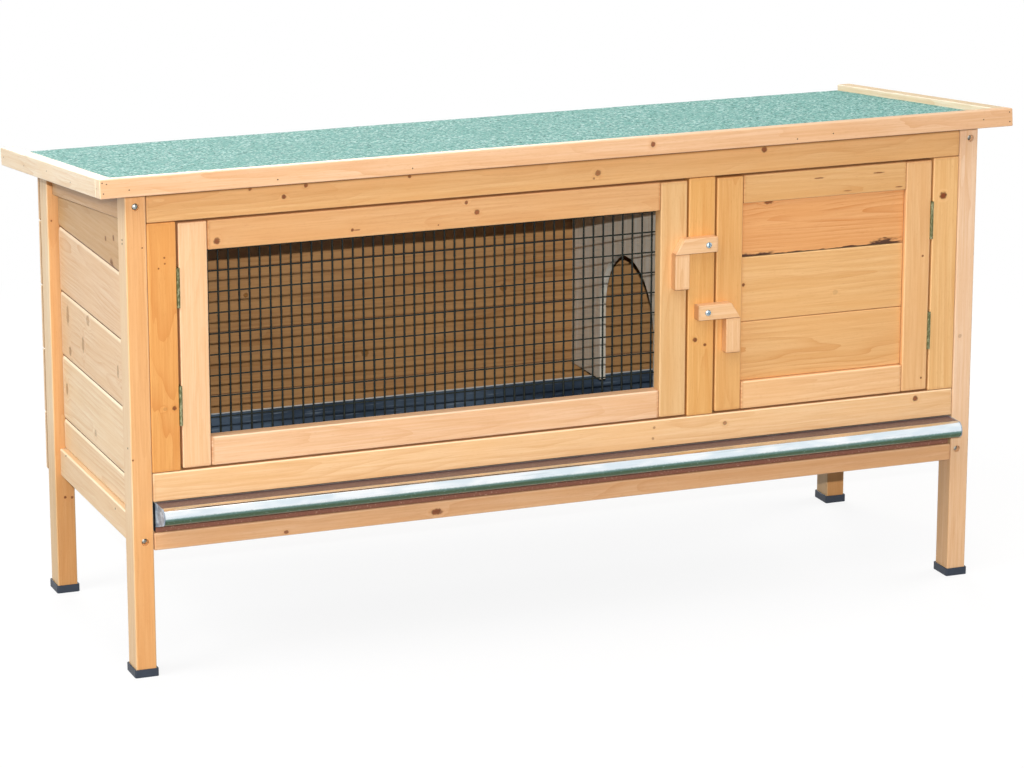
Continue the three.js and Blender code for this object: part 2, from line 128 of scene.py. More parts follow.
class Shades:
    """The shader nodes of a material or of the world."""

    def __init__(self, tree):
        self.tree = tree

    def feed(self, socket, value):
        """Links a value to a socket, or writes a plain number or colour there."""
        if isinstance(value, Value):
            self.tree.links.new(value.socket, socket)
        else:
            socket.default_value = value

    def node(self, kind, settings, inputs, output=0):
        """A node of one kind: its settings first, then what goes into its sockets."""
        made = self.tree.nodes.new("ShaderNode" + kind)
        for setting, value in settings.items():
            setattr(made, setting, value)
        for socket, value in inputs.items():
            self.feed(made.inputs[socket], value)
        return Value(self, made.outputs[output])

    def maths(self, operation, *values):
        return self.node("Math", {"operation": operation}, dict(enumerate(values)))

    def ramped(self, value, start, end):
        """Rises smoothly from 0 where the value is at start, to 1 at end."""
        settings = {"interpolation_type": "SMOOTHSTEP", "clamp": True}
        inputs = {"Value": value, "From Min": start, "From Max": end, "To Min": 0.0, "To Max": 1.0}
        return self.node("MapRange", settings, inputs)

    def blend(self, share, first, second, kind="MIX"):
        """One colour over another by a share."""
        settings = {"data_type": "RGBA", "blend_type": kind}
        inputs = {MIX_SHARE: share, MIX_FIRST: first, MIX_SECOND: second}
        return self.node("Mix", settings, inputs, MIX_RESULT)

    def parts(self, vector):
        """The three parts of a vector."""
        across = self.node("SeparateXYZ", {}, {"Vector": vector}, "X")
        return across, across.beside("Y"), across.beside("Z")

    def seen_direct(self):
        """1 for what is seen, straight on or in something shiny or clear, and 0 for what lights things."""
        camera = self.node("LightPath", {}, {}, "Is Camera Ray")
        direct = camera + camera.beside("Is Glossy Ray") + camera.beside("Is Transmission Ray")
        return self.node("Clamp", {}, {"Value": direct})


class Finish(Shades):
    """One material, with its main shader and the nodes that feed it."""

    def __init__(self, name, metallic=0.0):
        self.material = bpy.data.materials.new(name)
        self.material.use_nodes = True
        super().__init__(self.material.node_tree)
        self.shader = self.tree.nodes["Principled BSDF"]
        self.set("Metallic", metallic)

    def set(self, socket, value):
        self.feed(self.shader.inputs[socket], value)

    def placed(self, middle=Vector((0, 0, 0)), tip=0.0):
        """Millimetres from a piece's middle, square to the piece where it is tipped."""
        turn = Matrix.Rotation(tip, 3, "X")
        shift = turn @ middle / -MM
        where = self.node("TexCoord", {}, {}, "Object")
        inputs = {"Vector": where, "Location": shift, "Rotation": (tip, 0, 0), "Scale": (1 / MM,) * 3}
        return self.node("Mapping", {}, inputs)

    def stretched(self, place, lengths, shift=(0, 0, 0)):
        """A place in units of a pattern's own three lengths."""
        scale = [1 / length for length in lengths]
        return self.node("VectorMath", {"operation": "MULTIPLY_ADD"}, {0: place, 1: scale, 2: shift})

    def noise(self, place, lengths, detail=1.0, roughness=0.5, shift=(0, 0, 0)):
        """Cloudy noise around a half, as long as the lengths say."""
        vector = self.stretched(place, lengths, shift)
        inputs = {"Vector": vector, "Scale": 1.0, "Detail": detail, "Roughness": roughness}
        return self.node("TexNoise", {}, inputs)

    def cells(self, place, size, output):
        """Loose cells of one size: the Distance from the middle of each, or a Color for each."""
        inputs = {"Vector": self.stretched(place, (size, size, size)), "Scale": 1.0}
        return self.node("TexVoronoi", {"feature": "F1"}, inputs, output)

    def roughen(self, height, strength, distance):
        """Bumps on the surface, from a height."""
        inputs = {"Strength": strength, "Distance": distance, "Height": height}
        self.set("Normal", self.node("Bump", {}, inputs))


# Wood

PALE = colour(238, 190, 140)
CREAM = colour(230, 196, 152)
PLAIN = colour(214, 170, 118)
# The paler tone of a leg's sides, painted light
LIT_FLANK = colour(230, 197, 154)
END_CREAM = colour(238, 212, 176)
BARK = colour(50, 20, 12)
BARE = colour(174, 127, 75)
# The paler and the darker wood in a knot, and its rim
RED_KNOT = (colour(134, 54, 6), colour(84, 30, 4), colour(68, 25, 4))
BROWN_KNOT = (colour(152, 98, 30), colour(104, 64, 16), colour(98, 56, 10))
# What the grain takes off a tone on average, put back beforehand
GRAIN_LOSS = (1.01, 1.07, 1.16)

# What each mark in the wood multiplies a lath's tone by
BAND_DARK, BAND_PALE = (0.95, 0.88, 0.8), (1.04, 1.06, 1.1)
STRAND_DARK, STRAND_PALE = (0.93, 0.84, 0.72), (1.05, 1.1, 1.18)
LATE_WOOD = (0.82, 0.62, 0.42)
FIBRE = (0.86, 0.74, 0.6)
FLECK = (0.74, 0.56, 0.4)
CLOUD = (0.99, 0.88, 0.74)
# Arrises paler partly from wear and partly as painted highlight; the upper ones get a painted highlight
WORN_AND_LIT_ARRIS = (1.08, 1.18, 1.36)
LIT_LIP = (1.14, 1.26, 1.42)
SOAKED_END = (0.7, 0.48, 0.32)
TIP = (0.5, 0.34, 0.22)
HALO = (1.06, 1.14, 1.25)
BENT_GRAIN = (0.92, 0.66, 0.42)
# Painted shade, in the narrow gaps between parts and under the roof
GAP_SHADE = (0.62, 0.42, 0.22)
BROW_SHADE = (0.36, 0.24, 0.12)
# The same for wood without lacquer
BARE_PALE = (1.05, 1.05, 1.05)
BARE_STAIN = (0.72, 0.6, 0.46)
# Painted shade that darkens bare wood towards its ends, in the inside corners
BARE_CORNER_SHADE = (0.55, 0.5, 0.42)
# From which height above a leg's foot down, and to which, the painted shade near the ground grows
FOOT_SHADE_RANGE = (230, 130)

# A knot's place in millimetres from the low corner of its lath's face, its radius, how strongly it shows,
# how much longer it is along the grain, and how strong the pale ring round it is
Knot = namedtuple("Knot", "along across radius strength stretch halo", defaults=(0.85, 1.0, 0.0))

AXES = {"x": 0, "y": 1, "z": 2}
# The sides of a lath, each as an axis and the way that it looks
SIDES = {"left": (0, -1), "right": (0, 1), "front": (1, -1), "back": (1, 1), "under": (2, -1), "over": (2, 1)}


class Grain:
    """Where each point lies in a lath, in millimetres from its middle, and the patterns that run along it."""

    def __init__(self, finish, low, high, along, face, tip, seed):
        self.finish = finish
        self.along, self.face = AXES[along], AXES[face]
        self.across = 3 - self.along - self.face
        self.half = (high - low) / (2 * MM)
        self.draw = random.Random(seed)
        self.place = finish.placed((low + high) / 2, tip)
        self.parts = finish.parts(self.place)

    def cloud(self, long, wide, detail=1.0, roughness=0.5):
        """Noise stretched along the grain, in a place of its own."""
        lengths = [long if axis == self.along else wide for axis in range(3)]
        drift = [self.draw.uniform(-50, 50) for _ in range(3)]
        return self.finish.noise(self.place, lengths, detail, roughness, drift)

    def rings(self, bulge, bands):
        """Growth rings round a pith that runs beside the lath, a little askew: from 0 to 1 over each year."""
        pith_across = self.draw.uniform(-0.9, 0.9) * self.half[self.across]
        pith_depth = self.draw.choice((-1, 1)) * self.draw.uniform(18, 46)
        skew = self.draw.choice((-1, 1)) * self.draw.uniform(0.01, 0.035)
        spacing = self.draw.uniform(3.6, 5.6)
        wander = self.cloud(230, 55, 2.0) - 0.5
        off_across = self.parts[self.across] + wander * 14 - pith_across
        off_depth = self.parts[self.face] + self.parts[self.along] * skew + wander * 18 - pith_depth
        radius = (off_across * off_across + off_depth * off_depth) ** 0.5
        return self.finish.maths("FRACT", (radius + bulge) * (1 / spacing) + bands * 1.1)

    def knots(self, knots):
        """The knots' hearts, rims and halos, and how much the grain round them is bent and pushed aside.

        Each of these reaches over a share of the knot's radius.
        """
        finish = self.finish
        heart = rim = halo = bent = bulge = 0.0
        ragged = self.cloud(3.4, 3.4, 2.0) - 0.5
        for knot in knots:
            off_along = (self.parts[self.along] - (knot.along - self.half[self.along])) * (1 / knot.stretch)
            off_across = self.parts[self.across] - (knot.across - self.half[self.across])
            distance = (off_along * off_along + off_across * off_across) ** 0.5 + ragged * knot.radius
            inside = finish.ramped(distance, knot.radius * 1.15, knot.radius * 0.6) * knot.strength
            off_rim = finish.maths("ABSOLUTE", distance - knot.radius * 0.9)
            border = finish.ramped(off_rim, knot.radius * 0.4, 0.0) * knot.strength
            near = finish.ramped(distance, knot.radius * 3.4, 0.0)
            heart = finish.maths("MAXIMUM", heart, inside)
            rim = finish.maths("MAXIMUM", rim, border)
            bent = finish.maths("MAXIMUM", bent, near * knot.strength)
            bulge = near * (knot.radius * 1.5) + bulge
            if knot.halo:
                off_halo = finish.maths("ABSOLUTE", distance - knot.radius * 1.7)
                ring = finish.ramped(off_halo, knot.radius * 0.55, 0.0) * knot.halo
                halo = finish.maths("MAXIMUM", halo, ring)
        return heart, rim, halo, bent, bulge

    def arrises(self, ease):
        """The rounded edges of a lath."""
        finish = self.finish
        edges = [self.half[axis] - finish.maths("ABSOLUTE", self.parts[axis]) for axis in range(3)]
        most = finish.maths("MAXIMUM", finish.maths("MAXIMUM", edges[0], edges[1]), edges[2])
        reach = ease / MM
        return finish.ramped(edges[0] + edges[1] + edges[2] - most, reach * 1.2, reach * 0.7)

    def side(self, name, start, end):
        """One side of the lath, from start to end in millimetres under it."""
        axis, sign = SIDES[name]
        half = self.half[axis]
        return self.finish.ramped(self.parts[axis] * sign, half - start, half - end)

    def gaps(self, sides):
        """The narrow faces that look into a gap, behind the front face, which get painted shade."""
        mask = 0.0
        for name in sides.split():
            mask = self.finish.maths("MAXIMUM", mask, self.side(name, 1.3, 0.4))
        return mask * self.finish.ramped(self.parts[1] + self.half[1], 0.8, 3.0)

    def height(self):
        """How far a point lies above the lath's low edge."""
        return self.parts[2] + self.half[2]

    def off_middle(self):
        """How far along the grain a point lies from the lath's middle."""
        return self.finish.maths("ABSOLUTE", self.parts[self.along])

    def ends(self):
        """The last few millimetres at each end of a lath, where the lacquer gathers."""
        half = self.half[self.along]
        return self.finish.ramped(self.off_middle(), half - 5, half - 0.5)

    def tips(self):
        """The very ends of a lath, dark where it meets its neighbours."""
        half = self.half[self.along]
        return self.finish.ramped(self.off_middle(), half - 1.1, half - 0.5)

    def bark(self, patches):
        """Ragged bark on an edge: from, to, reach in from the edge, and 1 for the low edge or -1."""
        mask = 0.0
        for start, stop, reach, side in patches:
            place = self.parts[self.along] + self.half[self.along]
            from_edge = self.parts[self.across] * side + self.half[self.across]
            ragged = (self.cloud(16, 5, 2.0) - 0.5) * (reach * 2.6)
            within = self.finish.ramped(place, start, start + 6) * self.finish.ramped(place, stop, stop - 10)
            patch = within * self.finish.ramped(from_edge + ragged, reach, reach * 0.6)
            mask = self.finish.maths("MAXIMUM", mask, patch)
        return mask


def pine(name, tone, low, high, along, face, seed, knots=(), tip=0.0, ease=LATH_EASE, late=0.5, worn=0.3,
         lip=0.0, ends=0.35, bare=0, bark=(), gaps="", faces=None, foot=None, brow=None, knot_tones=RED_KNOT):
    """Lacquered pine for a lath between two corners: rings, fibres, knots and pale arrises.

    along is the axis that the grain follows and face the axis that the broad face looks along. late is how
    dark the rings are, worn how pale the arrises are, partly as wear and partly as painted highlight, lip
    how strong a painted highlight on the upper ones is, and ends how dark the two ends are. bare is 1 or -1
    where the half of the lath on that side of its middle has no lacquer, and that half gets painted shade
    towards its ends. gaps names the sides that look into a narrow gap, which get painted shade, and faces
    gives some sides a tone of their own, which on the legs, the buttons and the trims' tops is painted light
    and shade. foot is what the tone is multiplied by near the ground, as painted shade, and brow says
    between which heights above the lath's low edge the painted shade under the roof grows.
    """
    finish = Finish(name)
    grain = Grain(finish, low, high, along, face, tip, seed)
    heart, rim, halo, bent, bulge = grain.knots([Knot(*knot) for knot in knots])
    bands = grain.cloud(380, 17, 2.0)
    fibres = grain.cloud(52, 1.5, 3.0, 0.65)
    strands = grain.cloud(150, 3.6, 3.0, 0.6)
    flecks = grain.cloud(7, 0.7, 1.0)
    clouds = grain.cloud(110, 50, 2.0)
    ring = grain.rings(bulge, bands)
    dark_wood = ring ** 3 * finish.ramped(clouds, 0.3, 0.66) * late
    blend, ramped = finish.blend, finish.ramped
    tone = shaded(tone, *GRAIN_LOSS)

    shown = blend(ramped(bands, 0.3, 0.7), shaded(tone, *BAND_DARK), shaded(tone, *BAND_PALE))
    dark_strand = blend(0.5, shown, shaded(tone, *STRAND_DARK))
    pale_strand = blend(0.5, shown, shaded(tone, *STRAND_PALE))
    shown = blend(ramped(strands, 0.34, 0.66), dark_strand, pale_strand)
    shown = blend(dark_wood, shown, shaded(tone, *LATE_WOOD))
    shown = blend(ramped(fibres, 0.44, 0.7) * 0.5, shown, shaded(tone, *FIBRE))
    shown = blend(ramped(flecks, 0.6, 0.8) * 0.4, shown, shaded(tone, *FLECK))
    shown = blend(ramped(clouds, 0.6, 0.3) * 0.35, shown, shaded(tone, *CLOUD))
    lacquered = 1.0
    if bare:
        inner = ramped(grain.parts[grain.face] * bare, 0.0, grain.half[grain.face])
        stain = ramped(strands, 0.4, 0.7) * 0.5 + dark_wood * 0.6 + ramped(clouds, 0.44, 0.7) * 0.3
        stained = blend(stain, shaded(BARE, *BARE_PALE), shaded(BARE, *BARE_STAIN))
        length = grain.half[grain.along]
        # Painted shade: the bare side darkens towards the ends, in the inside corners
        corner_shade = ramped(length - grain.off_middle(), length * 0.55, length * 0.12)
        stained = blend(corner_shade * 0.6, stained, shaded(BARE, *BARE_CORNER_SHADE))
        shown = blend(inner * 0.9, shown, stained)
        lacquered = 1.0 - inner
    # Sides with a tone of their own: the front trim's ends, and painted light and shade on the sides of the
    # legs and buttons and on the trims' tops
    for side, other in (faces or {}).items():
        change = against(shaded(other, *GRAIN_LOSS), tone)
        shown = blend(grain.side(side, ease / MM, 0.2), shown, change, "MULTIPLY")
    # Painted shade near the ground
    if foot:
        shown = blend(ramped(grain.height(), *FOOT_SHADE_RANGE), shown, (*foot, 1.0), "MULTIPLY")
    # Paler arrises: partly wear, partly painted highlight
    shown = blend(grain.arrises(ease) * worn * lacquered, shown, shaded(tone, *WORN_AND_LIT_ARRIS))
    # Painted highlight along the upper arrises
    if lip:
        upper = ramped(grain.parts[grain.across], 0.0, grain.half[grain.across] * 0.8)
        shown = blend(grain.arrises(ease) * upper * lip * lacquered, shown, shaded(tone, *LIT_LIP))
    if ends:
        shown = blend(grain.ends() * ramped(strands, 0.3, 0.6) * ends, shown, shaded(tone, *SOAKED_END))
        shown = blend(grain.tips() * 0.55, shown, shaded(tone, *TIP))
    if knots:
        shown = blend(halo, shown, shaded(tone, *HALO))
        shown = blend(bent * bent * 0.6, shown, shaded(tone, *BENT_GRAIN))
        pale_knot, dark_knot, knot_rim = knot_tones
        shown = blend(heart, shown, blend(ramped(flecks, 0.3, 0.7), pale_knot, dark_knot))
        shown = blend(rim * 0.6, shown, knot_rim)
    if bark:
        shown = blend(grain.bark(bark) * 0.95, shown, BARK)
    # Painted shade in the narrow gaps between parts
    if gaps:
        shown = blend(grain.gaps(gaps) * 0.5, shown, shaded(tone, *GAP_SHADE))
    # Painted shade under the roof, growing upwards
    if brow:
        shown = blend(ramped(grain.height(), *brow) * 0.7, shown, shaded(tone, *BROW_SHADE))
    finish.set("Base Color", shown)
    finish.set("Roughness", fibres * 0.2 + 0.4)
    finish.set("Specular IOR Level", 0.3)
    finish.set("Coat Weight", 0.12)
    finish.set("Coat Roughness", 0.3)
    finish.roughen(fibres * 0.6 + dark_wood * 0.5 - rim * 0.6 - flecks * 0.2, 0.4, 0.22 * MM)
    return finish.material


# Metal, rubber, felt

def nose_sheet(name, low, high):
    """Bright galvanised sheet, drawn smooth, with smears along it.

    Its flat top is painted dark red and made less metallic. The lower half of its round carries a painted
    reflection, dull and greenish, and a tan line along its foot is a painted reflection of the lower rail.
    """
    finish = Finish(name)
    blend, ramped = finish.blend, finish.ramped
    place = finish.placed()
    smears = finish.noise(place, (120, 5, 5), 3.0, 0.6)
    patches = finish.noise(place, (46, 14, 14), 2.0)
    specks = finish.noise(place, (3.2, 1.8, 1.8), 2.0, 0.6)
    shown = blend(ramped(patches, 0.35, 0.65), colour(224, 236, 243), colour(247, 251, 253))
    shown = blend(ramped(smears, 0.52, 0.78) * 0.4, shown, colour(176, 190, 196))
    _, depth, height = finish.parts(place)
    radius = (high.z - low.z) / (2 * MM)
    foot, front = low.z / MM, low.y / MM
    level = height + (smears - 0.5) * 2 + (specks - 0.5) * 1.4
    middle = foot + radius
    # Painted reflection: the lower half of the round is dark and greenish
    stain = ramped(level, middle + 1.4, middle - 1)
    fall = ramped(level, middle + 0.5, middle - 4.5)
    reflected_greens = blend(fall, colour(104, 140, 136), colour(54, 80, 42))
    stained = blend(ramped(specks, 0.6, 0.74) * 0.7, reflected_greens, colour(128, 152, 140))
    shown = blend(stain * 0.95, shown, stained)
    # Painted reflection of the lower rail: a tan line along the foot
    shown = blend(ramped(level, foot + 2.2, foot + 0.8) * 0.8, shown, colour(150, 118, 84))
    # The flat top, painted dark red and made less metallic
    dark_top = ramped(depth + (smears - 0.5) * 3, front + radius + 0.5, front + radius + 2.5)
    dark_top = dark_top * ramped(height, high.z / MM - 1.2, high.z / MM - 0.8)
    dark_top_tone = blend(ramped(specks, 0.6, 0.72), colour(88, 60, 62), colour(156, 140, 140))
    shown = blend(dark_top * 0.95, shown, dark_top_tone)
    finish.set("Base Color", shown)
    finish.set("Metallic", 1.0 - dark_top * 0.7)
    finish.set("Roughness", ramped(smears, 0.4, 0.8) * 0.16 + stain * 0.14 + dark_top * 0.2 + 0.1)
    finish.roughen(smears + specks * 0.2, 0.06, 0.2 * MM)
    return finish.material


SPANGLE_SIZE = 6


def end_sheet(name):
    """Galvanised sheet with its spangle, duller than the nose."""
    finish = Finish(name, metallic=0.12)
    blend, ramped = finish.blend, finish.ramped
    place = finish.placed()
    spangle = finish.parts(finish.cells(place, SPANGLE_SIZE, "Color"))[0]
    smears = finish.noise(place, (10, 10, 5), 3.0)
    shown = blend(spangle, colour(122, 140, 160), colour(190, 206, 220))
    finish.set("Base Color", blend(ramped(smears, 0.5, 0.75) * 0.5, shown, colour(86, 98, 110)))
    finish.set("Roughness", smears * 0.2 + spangle * 0.1 + 0.26)
    finish.roughen(smears + spangle * 0.2, 0.12, 0.2 * MM)
    return finish.material


# Between which heights the tray's front turns dark with painted shade under the nose, and its rim turns pale
TRAY_FRONT_SHADE = (178.5, 181.5)
TRAY_RIM = (208.6, 209.6)


def tray_sheet(name, front):
    """The tray's coated sheet: dark slate blue, scuffed, with a pale rim, and dark red on its front, near
    black with painted shade under the nose.
    """
    finish = Finish(name, metallic=0.1)
    blend, ramped = finish.blend, finish.ramped
    place = finish.placed()
    clouds = finish.noise(place, (150, 90, 60), 3.0)
    scuffs = finish.noise(place, (45, 2.5, 2.5), 3.0, 0.6)
    grit = finish.noise(place, (2.2, 2.2, 2.2), 2.0, 0.6)
    shown = blend(ramped(clouds, 0.3, 0.7), colour(38, 52, 69), colour(84, 101, 119))
    shown = blend(ramped(scuffs, 0.56, 0.78) * 0.5, shown, colour(160, 172, 182))
    shown = blend(ramped(grit, 0.6, 0.8) * 0.3, shown, colour(40, 50, 62))
    _, depth, height = finish.parts(place)
    red_brown_front = blend(ramped(grit, 0.58, 0.74), colour(128, 78, 58), colour(176, 138, 116))
    # Painted shade: the front turns near black just under the nose
    red_brown_front = blend(ramped(height, *TRAY_FRONT_SHADE) * 0.85, red_brown_front, colour(40, 22, 16))
    shown = blend(ramped(depth, front / MM + 0.8, front / MM + 0.4), shown, red_brown_front)
    rim = ramped(height, *TRAY_RIM)
    finish.set("Base Color", blend(rim * 0.85, shown, colour(224, 222, 214)))
    finish.set("Roughness", scuffs * 0.24 + 0.34)
    finish.roughen(clouds * 0.6 + scuffs * 0.3, 0.2, 0.4 * MM)
    return finish.material


def small_metal(name, tone, worn, roughness):
    """Brass or steel of a hinge, screw or nail, with rubbed patches."""
    finish = Finish(name, metallic=1.0)
    blend, ramped = finish.blend, finish.ramped
    place = finish.placed()
    rub = finish.noise(place, (2.4, 2.4, 5.0), 3.0, 0.6)
    finish.set("Base Color", blend(ramped(rub, 0.42, 0.66), tone, worn))
    finish.set("Roughness", rub * 0.3 + roughness - 0.12)
    finish.roughen(rub, 0.15, 0.1 * MM)
    return finish.material


def rubber(name):
    """Dark moulded rubber, dusty on its faces."""
    finish = Finish(name)
    blend, ramped = finish.blend, finish.ramped
    place = finish.placed()
    grit = finish.noise(place, (0.9, 0.9, 0.9), 3.0)
    dust = finish.noise(place, (14, 14, 7), 3.0)
    shown = blend(dust, colour(22, 29, 42), colour(44, 54, 68))
    shown = blend(ramped(grit, 0.6, 0.8) * 0.35, shown, colour(84, 92, 102))
    finish.set("Base Color", shown)
    finish.set("Roughness", dust * 0.25 + 0.42)
    finish.roughen(grit, 0.25, 0.15 * MM)
    return finish.material


GRANULE_SIZE = 2.5


def mineral_felt(name):
    """Roofing felt under green slate granules, some pale and some dark, pressed in unevenly."""
    finish = Finish(name)
    blend, ramped = finish.blend, finish.ramped
    place = finish.placed()
    rise = finish.cells(place, GRANULE_SIZE, "Distance")
    hue, pale, dark = finish.parts(rise.beside("Color"))
    clumps = finish.noise(place, (5.5, 5.5, 5.5), 2.0, 0.6)
    clouds = finish.noise(place, (110, 70, 70), 3.0)
    shown = blend(hue, colour(70, 138, 125), colour(130, 183, 175))
    shown = blend(ramped(pale + clumps * 0.9, 1.08, 1.34) * 0.9, shown, colour(192, 221, 215))
    shown = blend(ramped(dark - clumps * 0.9, 0.32, 0.56) * 0.95, shown, colour(34, 88, 81))
    shown = blend(ramped(clouds, 0.4, 0.7) * 0.3, shown, colour(105, 161, 151))
    finish.set("Base Color", shown)
    finish.set("Roughness", hue * 0.2 + 0.72)
    finish.set("Specular IOR Level", 0.2)
    finish.roughen(rise + clumps, 0.7, 0.8 * MM)
    return finish.material


def net_coat(name):
    """Black-green plastic on the net's wires, with flecks where it is rubbed."""
    finish = Finish(name)
    finish.set("Specular IOR Level", 0.25)
    blend, ramped = finish.blend, finish.ramped
    place = finish.placed()
    flecks = finish.noise(place, (3, 3, 3), 2.0)
    shown = blend(ramped(flecks, 0.45, 0.75), colour(12, 18, 14), colour(30, 38, 30))
    finish.set("Base Color", shown)
    finish.set("Roughness", flecks * 0.2 + 0.5)
    finish.roughen(flecks, 0.2, 0.1 * MM)
    return finish.material


# Modelling

def deselect_all():
    bpy.ops.object.select_all(action="DESELECT")


def choose(piece):
    """Makes a piece the only one that is selected, and the active one."""
    deselect_all()
    piece.select_set(True)
    bpy.context.view_layer.objects.active = piece


def named(name):
    """Names the piece that was just added."""
    piece = bpy.context.object
    piece.name = name
    piece.data.name = name
    return piece


def settle(piece):
    """Puts a piece's place, turn and size into its mesh."""
    choose(piece)
    bpy.ops.object.transform_apply(location=True, rotation=True, scale=True)


def work(piece, kind, **settings):
    """Adds one modifier to a piece and applies it."""
    choose(piece)
    step = piece.modifiers.new(kind.lower(), kind)
    for setting, value in settings.items():
        setattr(step, setting, value)
    bpy.ops.object.modifier_apply(modifier=step.name)


def smooth(piece, degrees=40):
    """Smooth shading up to an angle, with the broad faces kept flat."""
    choose(piece)
    bpy.ops.object.shade_smooth_by_angle(angle=math.radians(degrees))
    work(piece, "WEIGHTED_NORMAL", mode="FACE_AREA", keep_sharp=True)


def round_arrises(piece, ease, steps=3, degrees=40):
    work(piece, "BEVEL", width=ease, segments=steps, limit_method="ANGLE", angle_limit=math.radians(degrees))
    smooth(piece, degrees)


def pick(piece, kind, wanted):
    """Enters edit mode with the faces or points selected that pass a test."""
    choose(piece)
    bpy.ops.object.mode_set(mode="EDIT")
    bpy.ops.mesh.select_mode(type=kind)
    bpy.ops.mesh.select_all(action="DESELECT")
    bpy.ops.object.mode_set(mode="OBJECT")
    if kind == "FACE":
        for face in piece.data.polygons:
            face.select = wanted(face.center, face.normal)
    elif kind == "EDGE":
        points = piece.data.vertices
        for edge in piece.data.edges:
            edge.select = wanted(*(points[index].co for index in edge.vertices))
    else:
        for point in piece.data.vertices:
            point.select = wanted(point.co)
    bpy.ops.object.mode_set(mode="EDIT")


def leave_edit():
    bpy.ops.object.mode_set(mode="OBJECT")


def move_points(piece, wanted, way):
    """Moves the points that pass a test."""
    pick(piece, "VERT", wanted)
    bpy.ops.transform.translate(value=way)
    leave_edit()


def lower_back(piece, high, drop):
    """Lowers the back of a piece's top, so that it follows the roof."""
    if drop:
        move_points(piece, lambda point: min(point.z - high.z, point.y - high.y) > -TINY, (0, 0, -drop))


def extrude_up(rise):
    """Extrudes the selected faces upwards, or downwards by a negative rise."""
    bpy.ops.mesh.extrude_region_move(TRANSFORM_OT_translate={"value": (0, 0, rise)})


def add_block(name, low, high, ease=0.0, steps=3):
    """A block between two corners, with its arrises rounded."""
    deselect_all()
    bpy.ops.mesh.primitive_cube_add(size=1, location=(low + high) / 2, scale=high - low)
    piece = named(name)
    settle(piece)
    if ease:
        round_arrises(piece, ease, steps)
    return piece


def add_rod(name, start, end, radius, sides=16, caps="NGON"):
    """A round rod between two points on one axis."""
    deselect_all()
    line = end - start
    bpy.ops.mesh.primitive_cylinder_add(
        vertices=sides, radius=radius, depth=line.length, end_fill_type=caps,
        location=(start + end) / 2, rotation=line.to_track_quat("Z", "Y").to_euler())
    piece = named(name)
    settle(piece)
    return piece


def cut_away(piece, tool):
    """Cuts one piece with another, which is used up."""
    work(piece, "BOOLEAN", operation="DIFFERENCE", solver="EXACT", object=tool)
    bpy.data.objects.remove(tool, do_unlink=True)


def join(name, pieces):
    """Joins pieces into one, under one name."""
    deselect_all()
    for piece in pieces:
        piece.select_set(True)
    bpy.context.view_layer.objects.active = pieces[0]
    bpy.ops.object.join()
    return named(name)


def copy_of(piece, name, shift, turn=0.0):
    """A copy of a piece with a mesh of its own, turned about the upright axis and moved."""
    twin = piece.copy()
    twin.data = piece.data.copy()
    twin.name = name
    bpy.context.scene.collection.objects.link(twin)
    twin.rotation_euler = (0, 0, turn)
    twin.location = shift
    settle(twin)
    return twin


def remake(node, name, ease=0.0, steps=2, degrees=30):
    """A CAD node's shape as a clean piece, with its arrises softened."""
    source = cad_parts[node]
    piece = source.copy()
    piece.data = source.data.copy()
    piece.data.materials.clear()
    for key in list(piece.keys()):
        del piece[key]
    bpy.context.scene.collection.objects.link(piece)
    piece.parent = None
    piece.name = name
    pick(piece, "VERT", lambda point: True)
    bpy.ops.mesh.select_all(action="SELECT")
    bpy.ops.mesh.remove_doubles(threshold=0.01 * MM)
    bpy.ops.mesh.dissolve_limited(angle_limit=math.radians(0.5))
    leave_edit()
    if ease:
        round_arrises(piece, ease, steps, degrees)
    else:
        smooth(piece, degrees)
    return piece


def dress(piece, body, slot, material, *nodes):
    """Gives a piece its material and its body, and hides the CAD nodes that it stands for. The slot is not
    used.
    """
    piece.data.materials.clear()
    piece.data.materials.append(material)
    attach(piece, body)
    if nodes:
        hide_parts(*nodes)
    return piece


# Wooden pieces

def add_lath(node, body, slot, tone, along, seed, knots=(), face="y", ease=LATH_EASE, **looks):
    """A lath in place of a CAD node of the same size."""
    low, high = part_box(node)
    piece = add_block(f"{node}_wood", low, high, ease)
    wood = pine(f"{node} pine", tone, low, high, along, face, seed, knots, ease=ease, **looks)
    return dress(piece, body, slot, wood, node)


POST_SCREW_RADIUS, POST_SCREW_HEIGHT = 3.8 * MM, 2 * MM
# Places of the screws on the front posts, right of and above the hutch's corner, and how deep each one sits
POST_SCREWS = {
    "front_left": ((12.6, 562.6, 0.6), (14.5, 164.6, 4.2)),
    "front_right": ((1079.8, 563.5, 4.2), (1073.7, 166.4, 4.2)),
}
COUNTERBORE_RADIUS = 4.4
COUNTERBORE_FLOOR = 2.2
# Between which heights above a front leg's foot the shade under the roof grows
LEG_BROW = (569, 573)
# Each leg's tone; that of its sides, paler on some legs and darker on others as painted light and shade; and
# the painted shade that both are multiplied by near the ground
LEG_TONES = {
    "front_left": (colour(229, 171, 112), LIT_FLANK, (0.97, 0.91, 0.82)),
    "front_right": (colour(240, 198, 158), colour(224, 181, 136), (0.95, 0.89, 0.79)),
    "rear_left": (colour(218, 164, 108), colour(232, 204, 164), (0.86, 0.78, 0.66)),
    "rear_right": (colour(220, 166, 110), LIT_FLANK, (0.86, 0.78, 0.66)),
}
LEG_KNOTS = {
    "front_left": ((511.8, 19.5, 0.9), (262, 2.2, 1.1)),
    "front_right": ((310, 8, 2.4, 0.3),),
    "rear_left": ((473, 5.1, 1.1, 0.8), (121, 12, 1.6), (120, 20.8, 1.6, 0.8)),
}
LEG_SEED = 11


